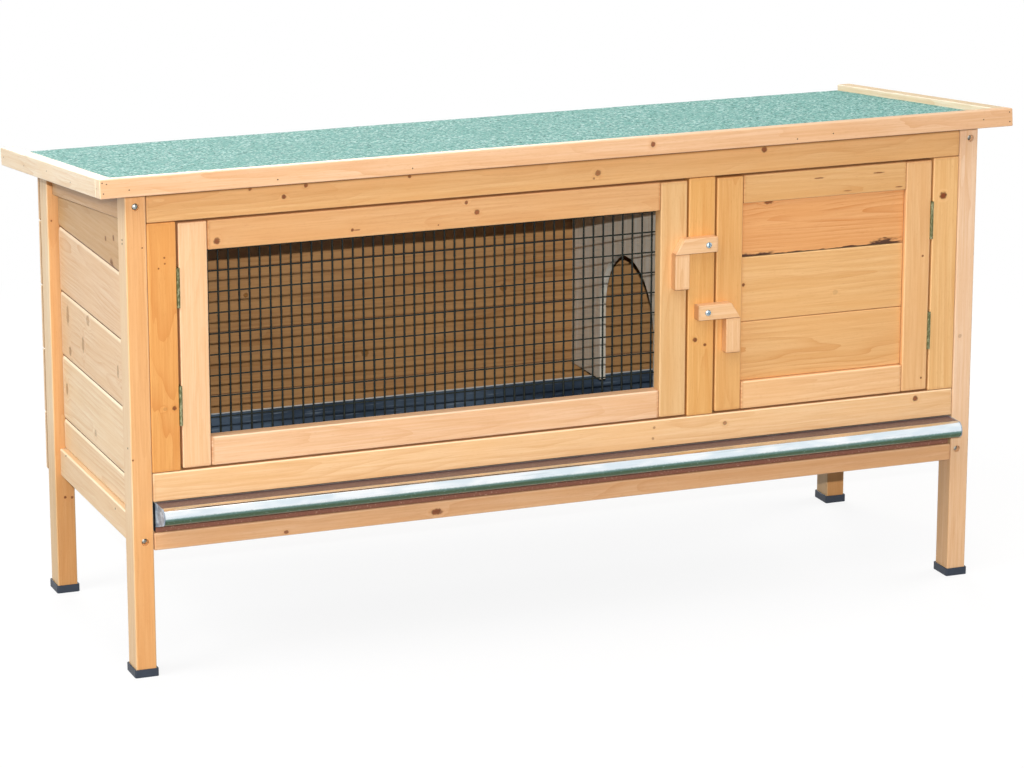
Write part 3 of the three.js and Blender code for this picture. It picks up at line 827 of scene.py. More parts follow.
def add_legs():
    steel = small_metal("post screw steel", colour(146, 154, 150), colour(216, 220, 216), 0.42)
    master = add_dome_screw("post_screw", Vector((0, 0, 0)), POST_SCREW_RADIUS, POST_SCREW_HEIGHT, 0)
    for seed, side in enumerate(LEG_TONES, LEG_SEED):
        node = f"leg_{side}"
        low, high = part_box(node)
        leg = add_block(f"{node}_wood", low, high)
        lower_back(leg, high, (high.y - low.y) * ROOF_FALL)
        round_arrises(leg, LEG_EASE)
        for index, (x, z, depth) in enumerate(POST_SCREWS.get(side, ())):
            tip = at(x, depth, z)
            drill(leg, tip, (depth + 1) * MM)
            screw = copy_of(master, f"post_screw_{side}_{index + 1}_steel", tip)
            dress(screw, "hutch", "screw_steel", steel)
        tone, flank, foot = LEG_TONES[side]
        wood = pine(f"{node} pine", tone, low, high, "z", "y", seed, LEG_KNOTS.get(side, ()), ease=LEG_EASE,
                    worn=0.08, faces={"left": flank, "right": flank}, foot=foot,
                    brow=LEG_BROW if side in POST_SCREWS else None)
        dress(leg, "hutch", "honey_pine", wood, node)
    bpy.data.objects.remove(master, do_unlink=True)


def drill(piece, tip, reach):
    """Cuts a flat-bottomed hole round a screw's head, that reaches out past the front."""
    mouth = tip - Vector((0, reach, 0))
    foot = tip + Vector((0, COUNTERBORE_FLOOR * MM, 0))
    cut_away(piece, add_rod("drill", mouth, foot, COUNTERBORE_RADIUS * MM, 24))
    smooth(piece)


CAP_CORNER = 2.4 * MM
CAP_WALL = 1.7 * MM
CAP_DEPTH = 7.5 * MM
CAP_EASE = 0.6 * MM


def add_foot_caps():
    material = rubber("cap rubber")
    for side in LEG_TONES:
        node = f"foot_cap_{side}"
        low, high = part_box(node)
        cap = add_block(f"{node}_rubber", low, high)
        pick(cap, "EDGE", lambda a, b: abs(a.z - b.z) > TINY)
        bpy.ops.mesh.bevel(offset=CAP_CORNER, segments=4, affect="EDGES")
        leave_edit()
        pick(cap, "FACE", lambda middle, normal: normal.z > 0.9)
        bpy.ops.mesh.inset(thickness=CAP_WALL)
        extrude_up(-CAP_DEPTH)
        leave_edit()
        round_arrises(cap, CAP_EASE, 2, 50)
        dress(cap, "hutch", "cap_rubber", material, node)


DOORS = ("mesh_door", "solid_door")
TOP_RAIL_BROW = (28.5, 31.5)
# Bark on the upper board's lower edge
BOARD_BARK = ((-20, 46, 4.0, 1), (40, 200, 1.7, 1), (172, 220, 6.5, 1))


def add_front_lath(node, kind, tone, along, seed, knots=(), **looks):
    """A lath of the front frame, or of the door that its name starts with."""
    body = next((door for door in DOORS if node.startswith(door)), "hutch")
    add_lath(node, body, f"{kind}_pine", colour(*tone), along, seed, knots, **looks)


def add_front_frame():
    add_front_lath("front_top_rail", "honey", (229, 175, 114), "x", 21, (
        (164.7, 18.1, 2.6), (191.5, 29.4, 2.4), (123.9, 30.5, 2.0), (318.7, 29.9, 2.0),
        (556.6, 15.6, 3.4, 0.7), (551.5, 9.5, 1.4, 0.6), (774.1, 27.7, 3.4)),
        gaps="under", brow=TOP_RAIL_BROW)
    add_front_lath("front_bottom_rail", "pale", (238, 191, 138), "x", 22, (
        (727.1, 21.5, 2.6, 0.6), (632.9, 25.2, 1.6, 0.5), (631.3, 11.5, 1.6, 0.5), (987.7, 26.4, 3.4)),
        gaps="over", lip=1.0)
    add_front_lath("front_lower_rail", "honey", (228, 174, 124), "x", 23, (
        (161.4, 4.6, 2.0, 0.75, 1.4), (350.2, 8.4, 3.4, 0.85, 2.0, 0.4)), lip=0.5)
    add_front_lath("front_left_stile", "amber", (224, 156, 84), "z", 24, (
        (75.9, 28.2, 2.4), (247.6, 20.5, 0.9), (254.6, 20.2, 1.1), (242.4, 13, 0.9), (76, 17, 2.2, 0.2)),
        late=0.8, gaps="right")
    add_front_lath("front_centre_stile", "honey", (229, 170, 99), "z", 25, (
        (95.6, 9.8, 2.8), (88.2, 23.0, 1.8)), gaps="left right")
    add_front_lath("front_right_stile", "honey", (236, 184, 121), "z", 26, (
        (247.7, 14.0, 4.4, 0.95, 1.0, 0.5),), gaps="left")


def add_doors():
    add_front_lath("mesh_door_left_stile", "pale", (238, 191, 143), "z", 31, gaps="left under")
    add_front_lath("mesh_door_right_stile", "pale", (228, 180, 122), "z", 32, gaps="right under")
    add_front_lath("mesh_door_bottom_rail", "pale", (236, 188, 143), "x", 33, gaps="under", lip=0.8, ends=0.8)
    add_front_lath("mesh_door_top_rail", "honey", (220, 165, 109), "x", 34, (
        (11.2, 9.6, 3.6), (175.6, 8.9, 1.8), (181, 8.6, 0.8, 0.6, 5), (317.5, 30.4, 2.2, 0.8),
        (330.8, 17.5, 3.0, 0.8), (282.4, 6.1, 0.8)), ends=0.8)
    add_front_lath("solid_door_left_stile", "honey", (227, 169, 102), "z", 35, gaps="left under")
    add_front_lath("solid_door_right_stile", "honey", (233, 180, 122), "z", 36, (
        (171.5, 24.7, 1.4), (15.5, 26.8, 1.3)), gaps="right under")
    add_front_lath("solid_door_bottom_rail", "pale", (239, 187, 132), "x", 37, gaps="under", lip=0.8,
                   ends=0.8)
    add_front_lath("solid_door_top_rail", "honey", (224, 172, 112), "x", 38, (
        (100.4, 23.8, 0.8, 0.7, 8), (181.1, 24.3, 0.8, 0.8, 8), (210, 4.5, 0.8, 0.7, 6),
        (139.7, 5.1, 0.7, 0.5, 7)), ends=0.6)
    add_front_lath("solid_door_lower_board", "amber", (229, 174, 112), "x", 39, ease=BOARD_EASE, late=0.75)
    add_front_lath("solid_door_middle_board", "amber", (231, 178, 116), "x", 40, (
        (3.5, 46, 2.0), (128, 26, 3.2, 0.14)), ease=BOARD_EASE, late=0.5, lip=0.4)
    add_front_lath("solid_door_upper_board", "amber", (229, 164, 103), "x", 41, (
        (35.5, 66.5, 3.5, 0.8, 1.6),), ease=BOARD_EASE, late=1.3, bark=BOARD_BARK)


# Walls

# Heights of the joints between the wall boards, how far each board stays off a joint, and its groove
BOARD_JOINTS = (226.5, 307.5, 388.5, 469.5)
JOINT_GAP = {"x": 0.45, "y": 0.4}
BOARD_GROOVE = {"x": 3.4 * MM, "y": 1.5 * MM}
BOARD_ARRIS = 0.4 * MM
# How far the boards stay off the rear posts
REAR_GAP = {"x": 3.6 * MM, "y": 0.0}
# How far the core of tongues lies inside the boards' box
CORE_INSET = {"x": Vector((2, 0, 2)) * MM, "y": Vector((2.5, 2, 2.5)) * MM}
# Painted shade: the core of tongues is dark so that the joints between the boards look deep
CORE_SHADE = (0.22, 0.14, 0.09)
# Tones of the boards from the lowest to the highest; the highest side board is darker with painted shade
# under the roof
SIDE_TONES = (colour(233, 200, 157), colour(234, 204, 163), colour(228, 193, 151), colour(228, 192, 151),
              colour(198, 160, 113))
BACK_TONES = (CREAM,) * 4 + (colour(222, 184, 138),)
# Knots of the walls, each from the hutch's corner along the wall and up
SIDE_KNOTS = (
    (96.3, 505.8, 3.4, 1.0), (130, 498.1, 3.0, 0.9), (106.4, 472.5, 6.0, 1.0),
    (218.9, 378.8, 6.0, 0.4, 1.0, 0.5), (310.5, 364.2, 11, 0.5, 0.5), (243.2, 343.5, 9, 0.5, 0.5),
    (92.1, 346.8, 7, 0.5, 0.5), (303.7, 320.5, 5.0, 0.6), (323.7, 267.9, 7, 0.6, 0.6),
    (197.4, 244.2, 4.0, 0.4))
BACK_KNOTS = (
    (140, 188, 3.6), (166, 201, 2.0, 0.6), (420, 262, 4.6, 0.7), (733, 236, 2.8), (905, 287, 3.4, 0.8),
    (262, 352, 3.0), (610, 331, 4.8, 0.7), (640, 338, 2.0, 0.6), (1002, 372, 2.6), (372, 421, 4.0, 0.8),
    (818, 447, 3.2, 0.7), (96, 489, 2.4), (545, 502, 3.8, 0.7), (958, 498, 3.0))


def add_wall_boards(wall, across, tones, bare, knots, seed):
    """Boards one over the other, the top one cut to the roof's slope, on a thin core of tongues painted dark
    as shade in the joints.

    across is the axis through the wall: x for a side and y for the back.
    """
    node = f"{wall}_boards"
    low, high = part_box(node)
    is_side = across == "x"
    grain = "y" if is_side else "x"
    grain_axis = AXES[grain]
    drop = (high.y - low.y) * ROOF_FALL if is_side else 0.0
    inset = CORE_INSET[across]
    core = add_block(f"{wall}_tongues_wood", low + inset, high - inset)
    lower_back(core, high - inset, drop)
    dark = shaded(CREAM, *CORE_SHADE)
    core_wood = pine(f"{wall} tongues pine", dark, low, high, grain, across, seed)
    dress(core, "hutch", "cream_pine", core_wood, node)
    gap, groove = JOINT_GAP[across], BOARD_GROOVE[across]
    edges = (low.z / MM, *BOARD_JOINTS, high.z / MM)
    for index, tone in enumerate(tones):
        bottom, top = edges[index], edges[index + 1]
        last = index == len(tones) - 1
        first_corner = Vector((low.x, low.y, (bottom + (gap if index else 0)) * MM))
        second_corner = Vector((high.x, high.y - REAR_GAP[across], (top - (0 if last else gap)) * MM))
        board = add_block(f"{wall}_board_{index + 1}_wood", first_corner, second_corner)
        if last:
            lower_back(board, second_corner, drop)
        pick(board, "EDGE", lambda a, b: abs(a[grain_axis] - b[grain_axis]) > groove * 2)
        bpy.ops.mesh.bevel(offset=groove, segments=2, affect="EDGES")
        leave_edit()
        round_arrises(board, BOARD_ARRIS, 1, 60)
        wall_start = (low[grain_axis] - CORNER[grain_axis]) / MM
        near = [(place - wall_start, z - bottom, *rest) for place, z, *rest in knots if bottom < z < top]
        wood = pine(f"{wall} board {index + 1} pine", tone, first_corner, second_corner, grain, across,
                    seed + 1 + index, near, ease=groove, late=0.7, bare=bare, ends=0.5 if is_side else 0,
                    lip=1.0, knot_tones=BROWN_KNOT)
        dress(board, "hutch", "cream_pine", wood, node)


RUNNER_EASE = 0.8 * MM


def add_side_walls():
    for wall, bare, seed, knots in (("left", 1, 50, SIDE_KNOTS), ("right", -1, 60, SIDE_KNOTS[2:7])):
        add_wall_boards(wall, "x", SIDE_TONES, bare, knots, seed)
        add_lath(f"{wall}_bottom_rail", "hutch", "cream_pine", colour(232, 198, 154), "y", seed + 7,
                 face="x", lip=0.9)
        add_side_top_rail(wall, seed + 8)
        add_lath(f"tray_runner_{wall}", "hutch", "plain_pine", PLAIN, "y", seed + 9, face="z",
                 ease=RUNNER_EASE)


SIDE_RAIL_BROW = (4, 30)


def add_side_top_rail(wall, seed):
    """The rail under the roof, whose top and bottom both follow the slope."""
    node = f"{wall}_top_rail"
    low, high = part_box(node)
    drop = (high.y - low.y) * ROOF_FALL
    rail = add_block(f"{node}_wood", Vector((low.x, low.y, low.z + drop)), high)
    move_points(rail, lambda point: point.y > high.y - TINY, (0, 0, -drop))
    round_arrises(rail, LATH_EASE)
    size = Vector((high.x - low.x, high.y - low.y, high.z - low.z - drop))
    middle = (low + high) / 2
    # The rail's darker tone and its brow are painted shade under the roof
    wood = pine(f"{node} pine", colour(208, 168, 122), middle - size / 2, middle + size / 2, "y", "x", seed,
                tip=ROOF_SLOPE, brow=SIDE_RAIL_BROW)
    dress(rail, "hutch", "cream_pine", wood, node)


def add_back_wall():
    add_wall_boards("back", "y", BACK_TONES, -1, BACK_KNOTS, 70)
    add_lath("rear_top_rail", "hutch", "pale_pine", PALE, "x", 77)
    add_lath("rear_bottom_rail", "hutch", "pale_pine", PALE, "x", 78)
    add_wall_nails()


# Nails of the back boards: how far from the wall's ends, at which share of a board's height, and their radius
BACK_NAIL_COLUMNS = ((9, 0.28), (15, 0.74))
BACK_NAIL_RADIUS = 1.5
# Those along the rear rails: from, to and how far apart
RAIL_NAILS = range(145, BODY_WIDTH - 100, 160)
# Nails of the sides, as how far behind the corner and how high
SIDE_RAIL_NAILS = ((97.7, 179), (316.1, 185.4))
LEG_NAILS = ((13.7, 522.6), (13.8, 518.2), (12.3, 276.2))
SIDE_NAIL_RADIUS = 1.3


def add_wall_nails():
    """Nails that hold the back boards to the posts and rails, and the side rails to the posts."""
    steel = small_metal("nail steel", colour(40, 34, 28), colour(96, 86, 72), 0.5)
    low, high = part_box("back_boards")
    places = []
    edges = (low.z / MM, *BOARD_JOINTS, high.z / MM)
    (outer, outer_share), (inner, inner_share) = BACK_NAIL_COLUMNS
    for bottom, top in zip(edges, edges[1:]):
        for x, share in ((outer, outer_share), (inner, inner_share), (BODY_WIDTH - inner, inner_share),
                         (BODY_WIDTH - outer, outer_share)):
            places.append(at(x, 0, bottom + (top - bottom) * share))
    for rail in ("rear_top_rail", "rear_bottom_rail"):
        rail_low, rail_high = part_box(rail)
        level = (rail_low.z + rail_high.z) / 2 / MM
        places += [at(x, 0, level) for x in RAIL_NAILS]
    for place in places:
        place.y = high.y
    nails = add_nail_heads("back_board_nails", places, Vector((0, 1, 0)), BACK_NAIL_RADIUS)
    dress(nails, "hutch", "screw_steel", steel)
    for wall, outward in (("left", -1), ("right", 1)):
        places = []
        for node, spots in ((f"{wall}_bottom_rail", SIDE_RAIL_NAILS), (f"leg_front_{wall}", LEG_NAILS)):
            low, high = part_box(node)
            x = low.x if outward < 0 else high.x
            places += [Vector((x, at(0, y, 0).y, z * MM)) for y, z in spots]
        nails = add_nail_heads(f"{wall}_side_nails", places, Vector((outward, 0, 0)), SIDE_NAIL_RADIUS)
        dress(nails, "hutch", "screw_steel", steel)


PARTITION_EASE = 0.8 * MM


def add_partition():
    low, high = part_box("partition")
    wall = remake("partition", "partition_wood", PARTITION_EASE)
    wood = pine("partition pine", colour(226, 216, 196), low, high, "z", "x", 81, ease=PARTITION_EASE,
                late=0.25)
    dress(wall, "hutch", "cream_pine", wood, "partition")


# Roof

# Places on the roof are in its own millimetres, square to it, from a point on the front trim's left end
ROOF_ORIGIN = at(-35, -24, 581.92)
ROOF_WIDTH = 1160
ROOF_LENGTH = 450
TRIM_DEPTH = 18
TRIM_LOW, TRIM_HIGH = -2, 20
# Where the board and the felt start, inside the trims
ROOF_INSET = 18.3
ROOF_BOARD_HIGH = 10
ROOF_BOARD_EASE = 0.6 * MM
FELT_LOW, FELT_HIGH = 10.3, 12.8


def tip_onto_roof(piece):
    """Puts a piece that was made in the roof's own millimetres where it belongs."""
    piece.rotation_euler = (-ROOF_SLOPE, 0, 0)
    piece.location = ROOF_ORIGIN
    settle(piece)
    return piece


def tipped(name, low, high, ease, steps=3):
    """A block between two corners in the roof's own millimetres."""
    return tip_onto_roof(add_block(name, low * MM, high * MM, ease, steps))


def roof_wood(name, tone, low, high, along, face, seed, knots=(), ease=TRIM_EASE, **looks):
    """Pine for a piece between two corners in the roof's own millimetres."""
    middle = ROOF_ORIGIN + Matrix.Rotation(-ROOF_SLOPE, 3, "X") @ ((low + high) / 2 * MM)
    size = (high - low) * MM
    return pine(name, tone, middle - size / 2, middle + size / 2, along, face, seed, knots, tip=ROOF_SLOPE,
                ease=ease, **looks)


def add_front_trim():
    low, high = Vector((0, 0, TRIM_LOW)), Vector((ROOF_WIDTH, TRIM_DEPTH, TRIM_HIGH))
    # The top's darker tone is painted shade that tempers the strong light from above
    faces = {"left": END_CREAM, "right": END_CREAM, "over": colour(222, 174, 122)}
    trim = tipped("roof_trim_front_wood", low, high, TRIM_EASE)
    wood = roof_wood("roof trim front pine", colour(228, 179, 134), low, high, "x", "y", 91,
                     ((677.8, 12.8, 3.0),), ends=0, faces=faces, lip=0.5)
    dress(trim, "hutch", "honey_pine", wood, "roof_trim_front")


def add_side_trim(side, left, seed):
    low = Vector((left, ROOF_INSET, TRIM_LOW))
    high = Vector((left + TRIM_DEPTH, ROOF_LENGTH, TRIM_HIGH))
    trim = tipped(f"roof_trim_{side}_wood", low, high, TRIM_EASE)
    # The top's darker tone is painted shade that tempers the strong light from above
    wood = roof_wood(f"roof trim {side} pine", colour(236, 212, 178), low, high, "y", "x", seed, ends=0,
                     faces={"over": colour(205, 175, 126)})
    dress(trim, "hutch", "cream_pine", wood, f"roof_trim_{side}")


def add_roof():
    add_front_trim()
    add_side_trim("left", 0, 92)
    add_side_trim("right", ROOF_WIDTH - TRIM_DEPTH, 93)
    low = Vector((ROOF_INSET, ROOF_INSET, 0))
    high = Vector((ROOF_WIDTH - ROOF_INSET, ROOF_LENGTH, ROOF_BOARD_HIGH))
    board = tipped("roof_board_wood", low, high, ROOF_BOARD_EASE, 2)
    wood = roof_wood("roof board pine", PLAIN, low, high, "x", "z", 94)
    dress(board, "hutch", "plain_pine", wood, "roof_board")
    add_felt(Vector((low.x, low.y, FELT_LOW)), Vector((high.x, high.y, FELT_HIGH)))
    add_trim_brads()


# Places of the brads on each trim, from its left or front end and above its low edge
FRONT_BRADS = ((3.2, 18.2), (8.3, 16.6), (4.2, 6.0), (34.3, 8.2), (210.1, 6.6), (374.2, 7.1), (866.9, 5.2),
               (914.9, 8.5), (1119.3, 10.6), (1155.5, 17.5), (1155.5, 5.7))
SIDE_BRADS = ((14, 11), (126, 8), (232, 12), (338, 9), (436, 11))
BRAD_RADIUS = 0.8


def add_trim_brads():
    """The brads that hold the trims, as small dark heads flush with the wood."""
    steel = small_metal("brad steel", colour(58, 44, 34), colour(120, 104, 84), 0.5)
    fronts = [(along, 0, TRIM_LOW + up) for along, up in FRONT_BRADS]
    lefts = [(0, along, TRIM_LOW + up) for along, up in SIDE_BRADS]
    rights = [(ROOF_WIDTH, along, TRIM_LOW + up) for along, up in SIDE_BRADS]
    for side, places, outward in (("front", fronts, (0, -1, 0)), ("left", lefts, (-1, 0, 0)),
                                  ("right", rights, (1, 0, 0))):
        places = [Vector(place) * MM for place in places]
        brads = add_nail_heads(f"roof_trim_{side}_brads", places, Vector(outward), BRAD_RADIUS)
        tip_onto_roof(brads)
        dress(brads, "hutch", "screw_steel", steel)


# How far a nail's head reaches under a face and over it
NAIL_SUNK, NAIL_PROUD = 1.2 * MM, 0.12 * MM


def add_nail_heads(name, places, outward, radius):
    """Small round heads, a little proud of a face, joined as one piece. The radius is in millimetres."""
    heads = [add_rod(name, place - outward * NAIL_SUNK, place + outward * NAIL_PROUD, radius * MM, 10)
             for place in places]
    nails = join(name, heads)
    smooth(nails, 50)
    return nails


FELT_CUTS = 60
SWELL_LENGTH = 90 * MM
SWELL_HEIGHT = 0.9 * MM


def add_felt(low, high):
    """The felt: a sheet whose top lies a little uneven on its board."""
    felt = add_block("roof_felt_sheet", low * MM, high * MM)
    pick(felt, "FACE", lambda middle, normal: normal.z > 0.9)
    bpy.ops.mesh.subdivide(number_cuts=FELT_CUTS)
    bpy.ops.object.vertex_group_assign_new()
    leave_edit()
    swell = bpy.data.textures.new("felt swell", "CLOUDS")
    swell.noise_scale = SWELL_LENGTH
    work(felt, "DISPLACE", texture=swell, texture_coords="LOCAL", vertex_group=felt.vertex_groups[0].name,
         direction="Z", strength=SWELL_HEIGHT, mid_level=1.0)
    smooth(felt, 50)
    tip_onto_roof(felt)
    dress(felt, "hutch", "roof_felt", mineral_felt("mineral felt"), "roof_felt")


# Net

# The radius of a wire, where the first one runs, how far apart they are and how many there are
UPRIGHT_RADIUS, UPRIGHT_START, UPRIGHT_PITCH, UPRIGHTS = 1.15, 89.2, 12.7, 47
LEVEL_RADIUS, LEVEL_START, LEVEL_PITCH, LEVELS = 0.9, 276.0, 25.0, 10


def add_net():
    low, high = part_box("wire_mesh")
    depth = (low.y + high.y) / 2
    first = Vector((at(UPRIGHT_START, 0, 0).x, depth, low.z))
    uprights = add_rod("net_uprights", first, Vector((first.x, depth, high.z)), UPRIGHT_RADIUS * MM, 8)
    repeat(uprights, (UPRIGHT_PITCH * MM, 0, 0), UPRIGHTS)
    start = Vector((low.x, depth, LEVEL_START * MM))
    levels = add_rod("net_levels", start, Vector((high.x, depth, LEVEL_START * MM)), LEVEL_RADIUS * MM, 8)
    repeat(levels, (0, 0, LEVEL_PITCH * MM), LEVELS)
    net = join("wire_mesh_wires", [uprights, levels])
    smooth(net, 50)
    dress(net, "mesh_door", "net_wire", net_coat("net coat"), "wire_mesh")
    add_staples(low, high)


STAPLE_WIDTH = 9.0 * MM
STAPLE_WIRE = 0.9 * MM
STAPLE_LEG = 5.0 * MM
STAPLE_SEAM = 0.05 * MM
STAPLE_EASE = 0.12 * MM
STAPLE_PITCH = 62.0 * MM
# How far a staple lies inside the net's edge, and behind the net's front
STAPLE_INSET = 5 * MM
STAPLE_BACK = 2.9 * MM


def add_staples(low, high):
    """Staples round the net's edge, over its wires and into the back of the door's frame."""
    middle = Vector((0, low.y + STAPLE_BACK, 0))
    upright = add_staple("net_staple_upright", middle, Vector((0, 0, 1)))
    level = add_staple("net_staple_level", middle, Vector((1, 0, 0)))
    staples = []
    across = int((high.x - low.x) / STAPLE_PITCH)
    upward = int((high.z - low.z) / STAPLE_PITCH)
    left, right = low.x + STAPLE_INSET, high.x - STAPLE_INSET
    bottom, top = low.z + STAPLE_INSET, high.z - STAPLE_INSET
    for index in range(across + 1):
        x = left + (right - left) * index / across
        staples += [copy_of(level, "net_staple", (x, 0, z)) for z in (bottom, top)]
    for index in range(1, upward):
        z = low.z + (high.z - low.z) * index / upward
        staples += [copy_of(upright, "net_staple", (x, 0, z)) for x in (left, right)]
    for master in (upright, level):
        bpy.data.objects.remove(master, do_unlink=True)
    steel = small_metal("staple steel", colour(150, 152, 150), colour(214, 216, 214), 0.3)
    dress(join("net_staples_steel", staples), "mesh_door", "screw_steel", steel)


def add_staple(name, middle, line):
    """One staple with its crown along a line and its legs, a little thinner, to the front."""
    half = Vector((STAPLE_WIRE, STAPLE_WIRE, STAPLE_WIRE)) / 2
    reach = line * (STAPLE_WIDTH / 2)
    crown = add_block(name, middle - half - reach, middle + half + reach)
    pick(crown, "FACE", lambda centre, normal: normal.y < -0.9)
    bpy.ops.mesh.inset(thickness=STAPLE_SEAM)
    leave_edit()
    leg_half = half * 0.94
    legs = []
    for side in (-1, 1):
        foot = middle + line * side * (STAPLE_WIDTH - STAPLE_WIRE) / 2
        legs.append(add_block(name, foot - leg_half - Vector((0, STAPLE_LEG, 0)), foot + leg_half))
    staple = join(name, [crown, *legs])
    round_arrises(staple, STAPLE_EASE, 1)
    return staple


def repeat(piece, step, count):
    work(piece, "ARRAY", use_relative_offset=False, use_constant_offset=True, constant_offset_displace=step,
         count=count)


# Turn buttons

# Darker tones on the buttons' left, right and lower sides: painted shade
BUTTON_SHADED_SIDES = {"left": colour(212, 158, 106), "right": colour(212, 158, 106), "under": colour(184, 130, 82)}
# How wide a button's bar and leg are, how far its bar's end slants, how far its leg stays off its bar
BUTTON_WIDTH = 18.7 * MM
BUTTON_SLANT = 12 * MM
BUTTON_SEAM = 0.1 * MM
BUTTON_EASE = 0.9 * MM
# The radius and the height of its screw's head, and the shank's length
BUTTON_SCREW = (3.8 * MM, 2.6 * MM, 18 * MM)


def add_buttons():
    steel = small_metal("button screw steel", colour(128, 152, 166), colour(216, 228, 236), 0.25)
    for door, side, seed in (("mesh_door", -1, 101), ("solid_door", 1, 103)):
        node = f"{door}_button"
        low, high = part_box(node)
        head_low, head_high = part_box(f"{node}_screw")
        pivot = (head_low + head_high) / 2
        split = pivot.z - BUTTON_WIDTH / 2
        end = low.x if side < 0 else high.x
        inner = end - side * BUTTON_WIDTH
        bar_low, bar_high = Vector((low.x, low.y, split)), high
        bar = add_block(f"{node}_bar_wood", bar_low, bar_high)
        move_points(bar, lambda point: abs(point.x - end) < TINY and point.z > high.z - TINY,
                    (-side * BUTTON_SLANT, 0, 0))
        round_arrises(bar, BUTTON_EASE)
        wood = pine(f"{node} bar pine", PALE, bar_low, bar_high, "x", "y", seed, ease=BUTTON_EASE,
                    faces=BUTTON_SHADED_SIDES)
        dress(bar, node, "pale_pine", wood, node)
        leg_low = Vector((min(end, inner), low.y, low.z))
        leg_high = Vector((max(end, inner), high.y, split - BUTTON_SEAM))
        leg = add_block(f"{node}_leg_wood", leg_low, leg_high, BUTTON_EASE)
        wood = pine(f"{node} leg pine", PALE, leg_low, leg_high, "z", "y", seed + 1, ease=BUTTON_EASE,
                    faces=BUTTON_SHADED_SIDES)
        dress(leg, node, "pale_pine", wood, node)
        tip = Vector((pivot.x, head_low.y, pivot.z))
        screw = add_dome_screw(f"{node}_screw_steel", tip, *BUTTON_SCREW)
        dress(screw, "hutch", "screw_steel", steel, f"{node}_screw")


# The cross in a screw's head: half its arms' width, and how deep it is cut
CROSS_WIDTH, CROSS_DEPTH = 0.42 * MM, 1.3 * MM


def add_dome_screw(name, tip, radius, height, shank):
    """A dome-headed screw that looks to the front, from its foremost point, with a cross cut in its head."""
    deselect_all()
    base = tip + Vector((0, height, 0))
    bpy.ops.mesh.primitive_uv_sphere_add(segments=24, ring_count=16, radius=1, location=base,
                                         scale=(radius, height, radius))
    head = named(name)
    settle(head)
    pick(head, "FACE", lambda middle, normal: True)
    bpy.ops.mesh.bisect(plane_co=base, plane_no=(0, 1, 0), clear_outer=True, use_fill=True)
    leave_edit()
    arm = radius * 0.62
    for reach_x, reach_z in ((arm, CROSS_WIDTH), (CROSS_WIDTH, arm)):
        reach = Vector((reach_x, CROSS_DEPTH, reach_z))
        cut_away(head, add_block(f"{name}_slot", tip - reach, tip + reach))
    smooth(head, 35)
    if shank:
        stem = add_rod(f"{name}_shank", base, base + Vector((0, shank, 0)), radius * 0.5, 12)
        head = join(name, [head, stem])
    return head


# Hinges

def add_hinges():
    brass = small_metal("hinge brass", colour(98, 100, 68), colour(152, 152, 120), 0.42)
    for door in DOORS:
        for level in ("upper", "lower"):
            for leaf, body in (("frame_leaf", "hutch"), ("door_leaf", door)):
                node = f"{door}_{level}_hinge_{leaf}"
                piece = remake(node, f"{node}_metal", degrees=35)
                dress(piece, body, "hinge_brass", brass, node)


# Tray

SHEET = 1 * MM
# The folded rim: how thick it is and how far it reaches down
HEM, HEM_HEIGHT = 1.8 * MM, 7 * MM
PAN_EASE = 0.4 * MM
NOSE_SHEET = 0.9 * MM
# The dent in a nose's end: how far inside its edge and how deep
END_RIM, END_DENT = 1.5 * MM, 0.6 * MM


def add_tray_pan():
    low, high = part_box("tray_pan")
    pan = add_block("tray_pan_sheet", low, high)
    size = high - low
    pick(pan, "FACE", lambda middle, normal: normal.z > 0.9)
    bpy.ops.mesh.inset(thickness=HEM)
    extrude_up(-HEM_HEIGHT)
    extrude_up(0)
    grow = [(size[axis] - 2 * SHEET) / (size[axis] - 2 * HEM) for axis in (0, 1)]
    bpy.ops.transform.resize(value=(*grow, 1), center_override=(low + high) / 2)
    extrude_up(HEM_HEIGHT + SHEET - size.z)
    leave_edit()
    round_arrises(pan, PAN_EASE, 2, 50)
    dress(pan, "tray", "galvanised_sheet", tray_sheet("tray sheet", low.y), "tray_pan")


def add_tray_nose():
    low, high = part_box("tray_nose")
    radius = (high.z - low.z) / 2
    axis = Vector((0, low.y + radius, low.z + radius))
    skin = half_round("tray_nose_sheet", low.x, high.x, axis, radius, high.y)
    work(skin, "SOLIDIFY", thickness=NOSE_SHEET, offset=-1)
    smooth(skin, 40)
    dress(skin, "tray", "galvanised_sheet", nose_sheet("nose sheet", low, high), "tray_nose")
    metal = end_sheet("nose end sheet")
    for side in ("left", "right"):
        node = f"tray_nose_{side}_end"
        plate = remake(node, f"{node}_sheet")
        outward = -1 if side == "left" else 1
        pick(plate, "FACE", lambda middle, normal: normal.x * outward > 0.9)
        bpy.ops.mesh.inset(thickness=END_RIM)
        bpy.ops.transform.translate(value=(-outward * END_DENT, 0, 0))
        leave_edit()
        smooth(plate, 40)
        dress(plate, "tray", "galvanised_sheet", metal, node)


def half_round(name, left, right, axis, radius, back):
    """The front half of an open tube across the hutch, carried straight on to the back."""
    start, end = Vector((left, axis.y, axis.z)), Vector((right, axis.y, axis.z))
    piece = add_rod(name, start, end, radius, 64, "NOTHING")
    pick(piece, "FACE", lambda middle, normal: True)
    bpy.ops.mesh.bisect(plane_co=axis, plane_no=(0, 1, 0), clear_outer=True)
    leave_edit()
    pick(piece, "EDGE", lambda a, b: min(a.y, b.y) > axis.y - TINY)
    bpy.ops.mesh.extrude_edges_move(TRANSFORM_OT_translate={"value": (0, back - axis.y, 0)})
    leave_edit()
    return piece


# Floor, light and camera

FLOOR_SIZE = 60
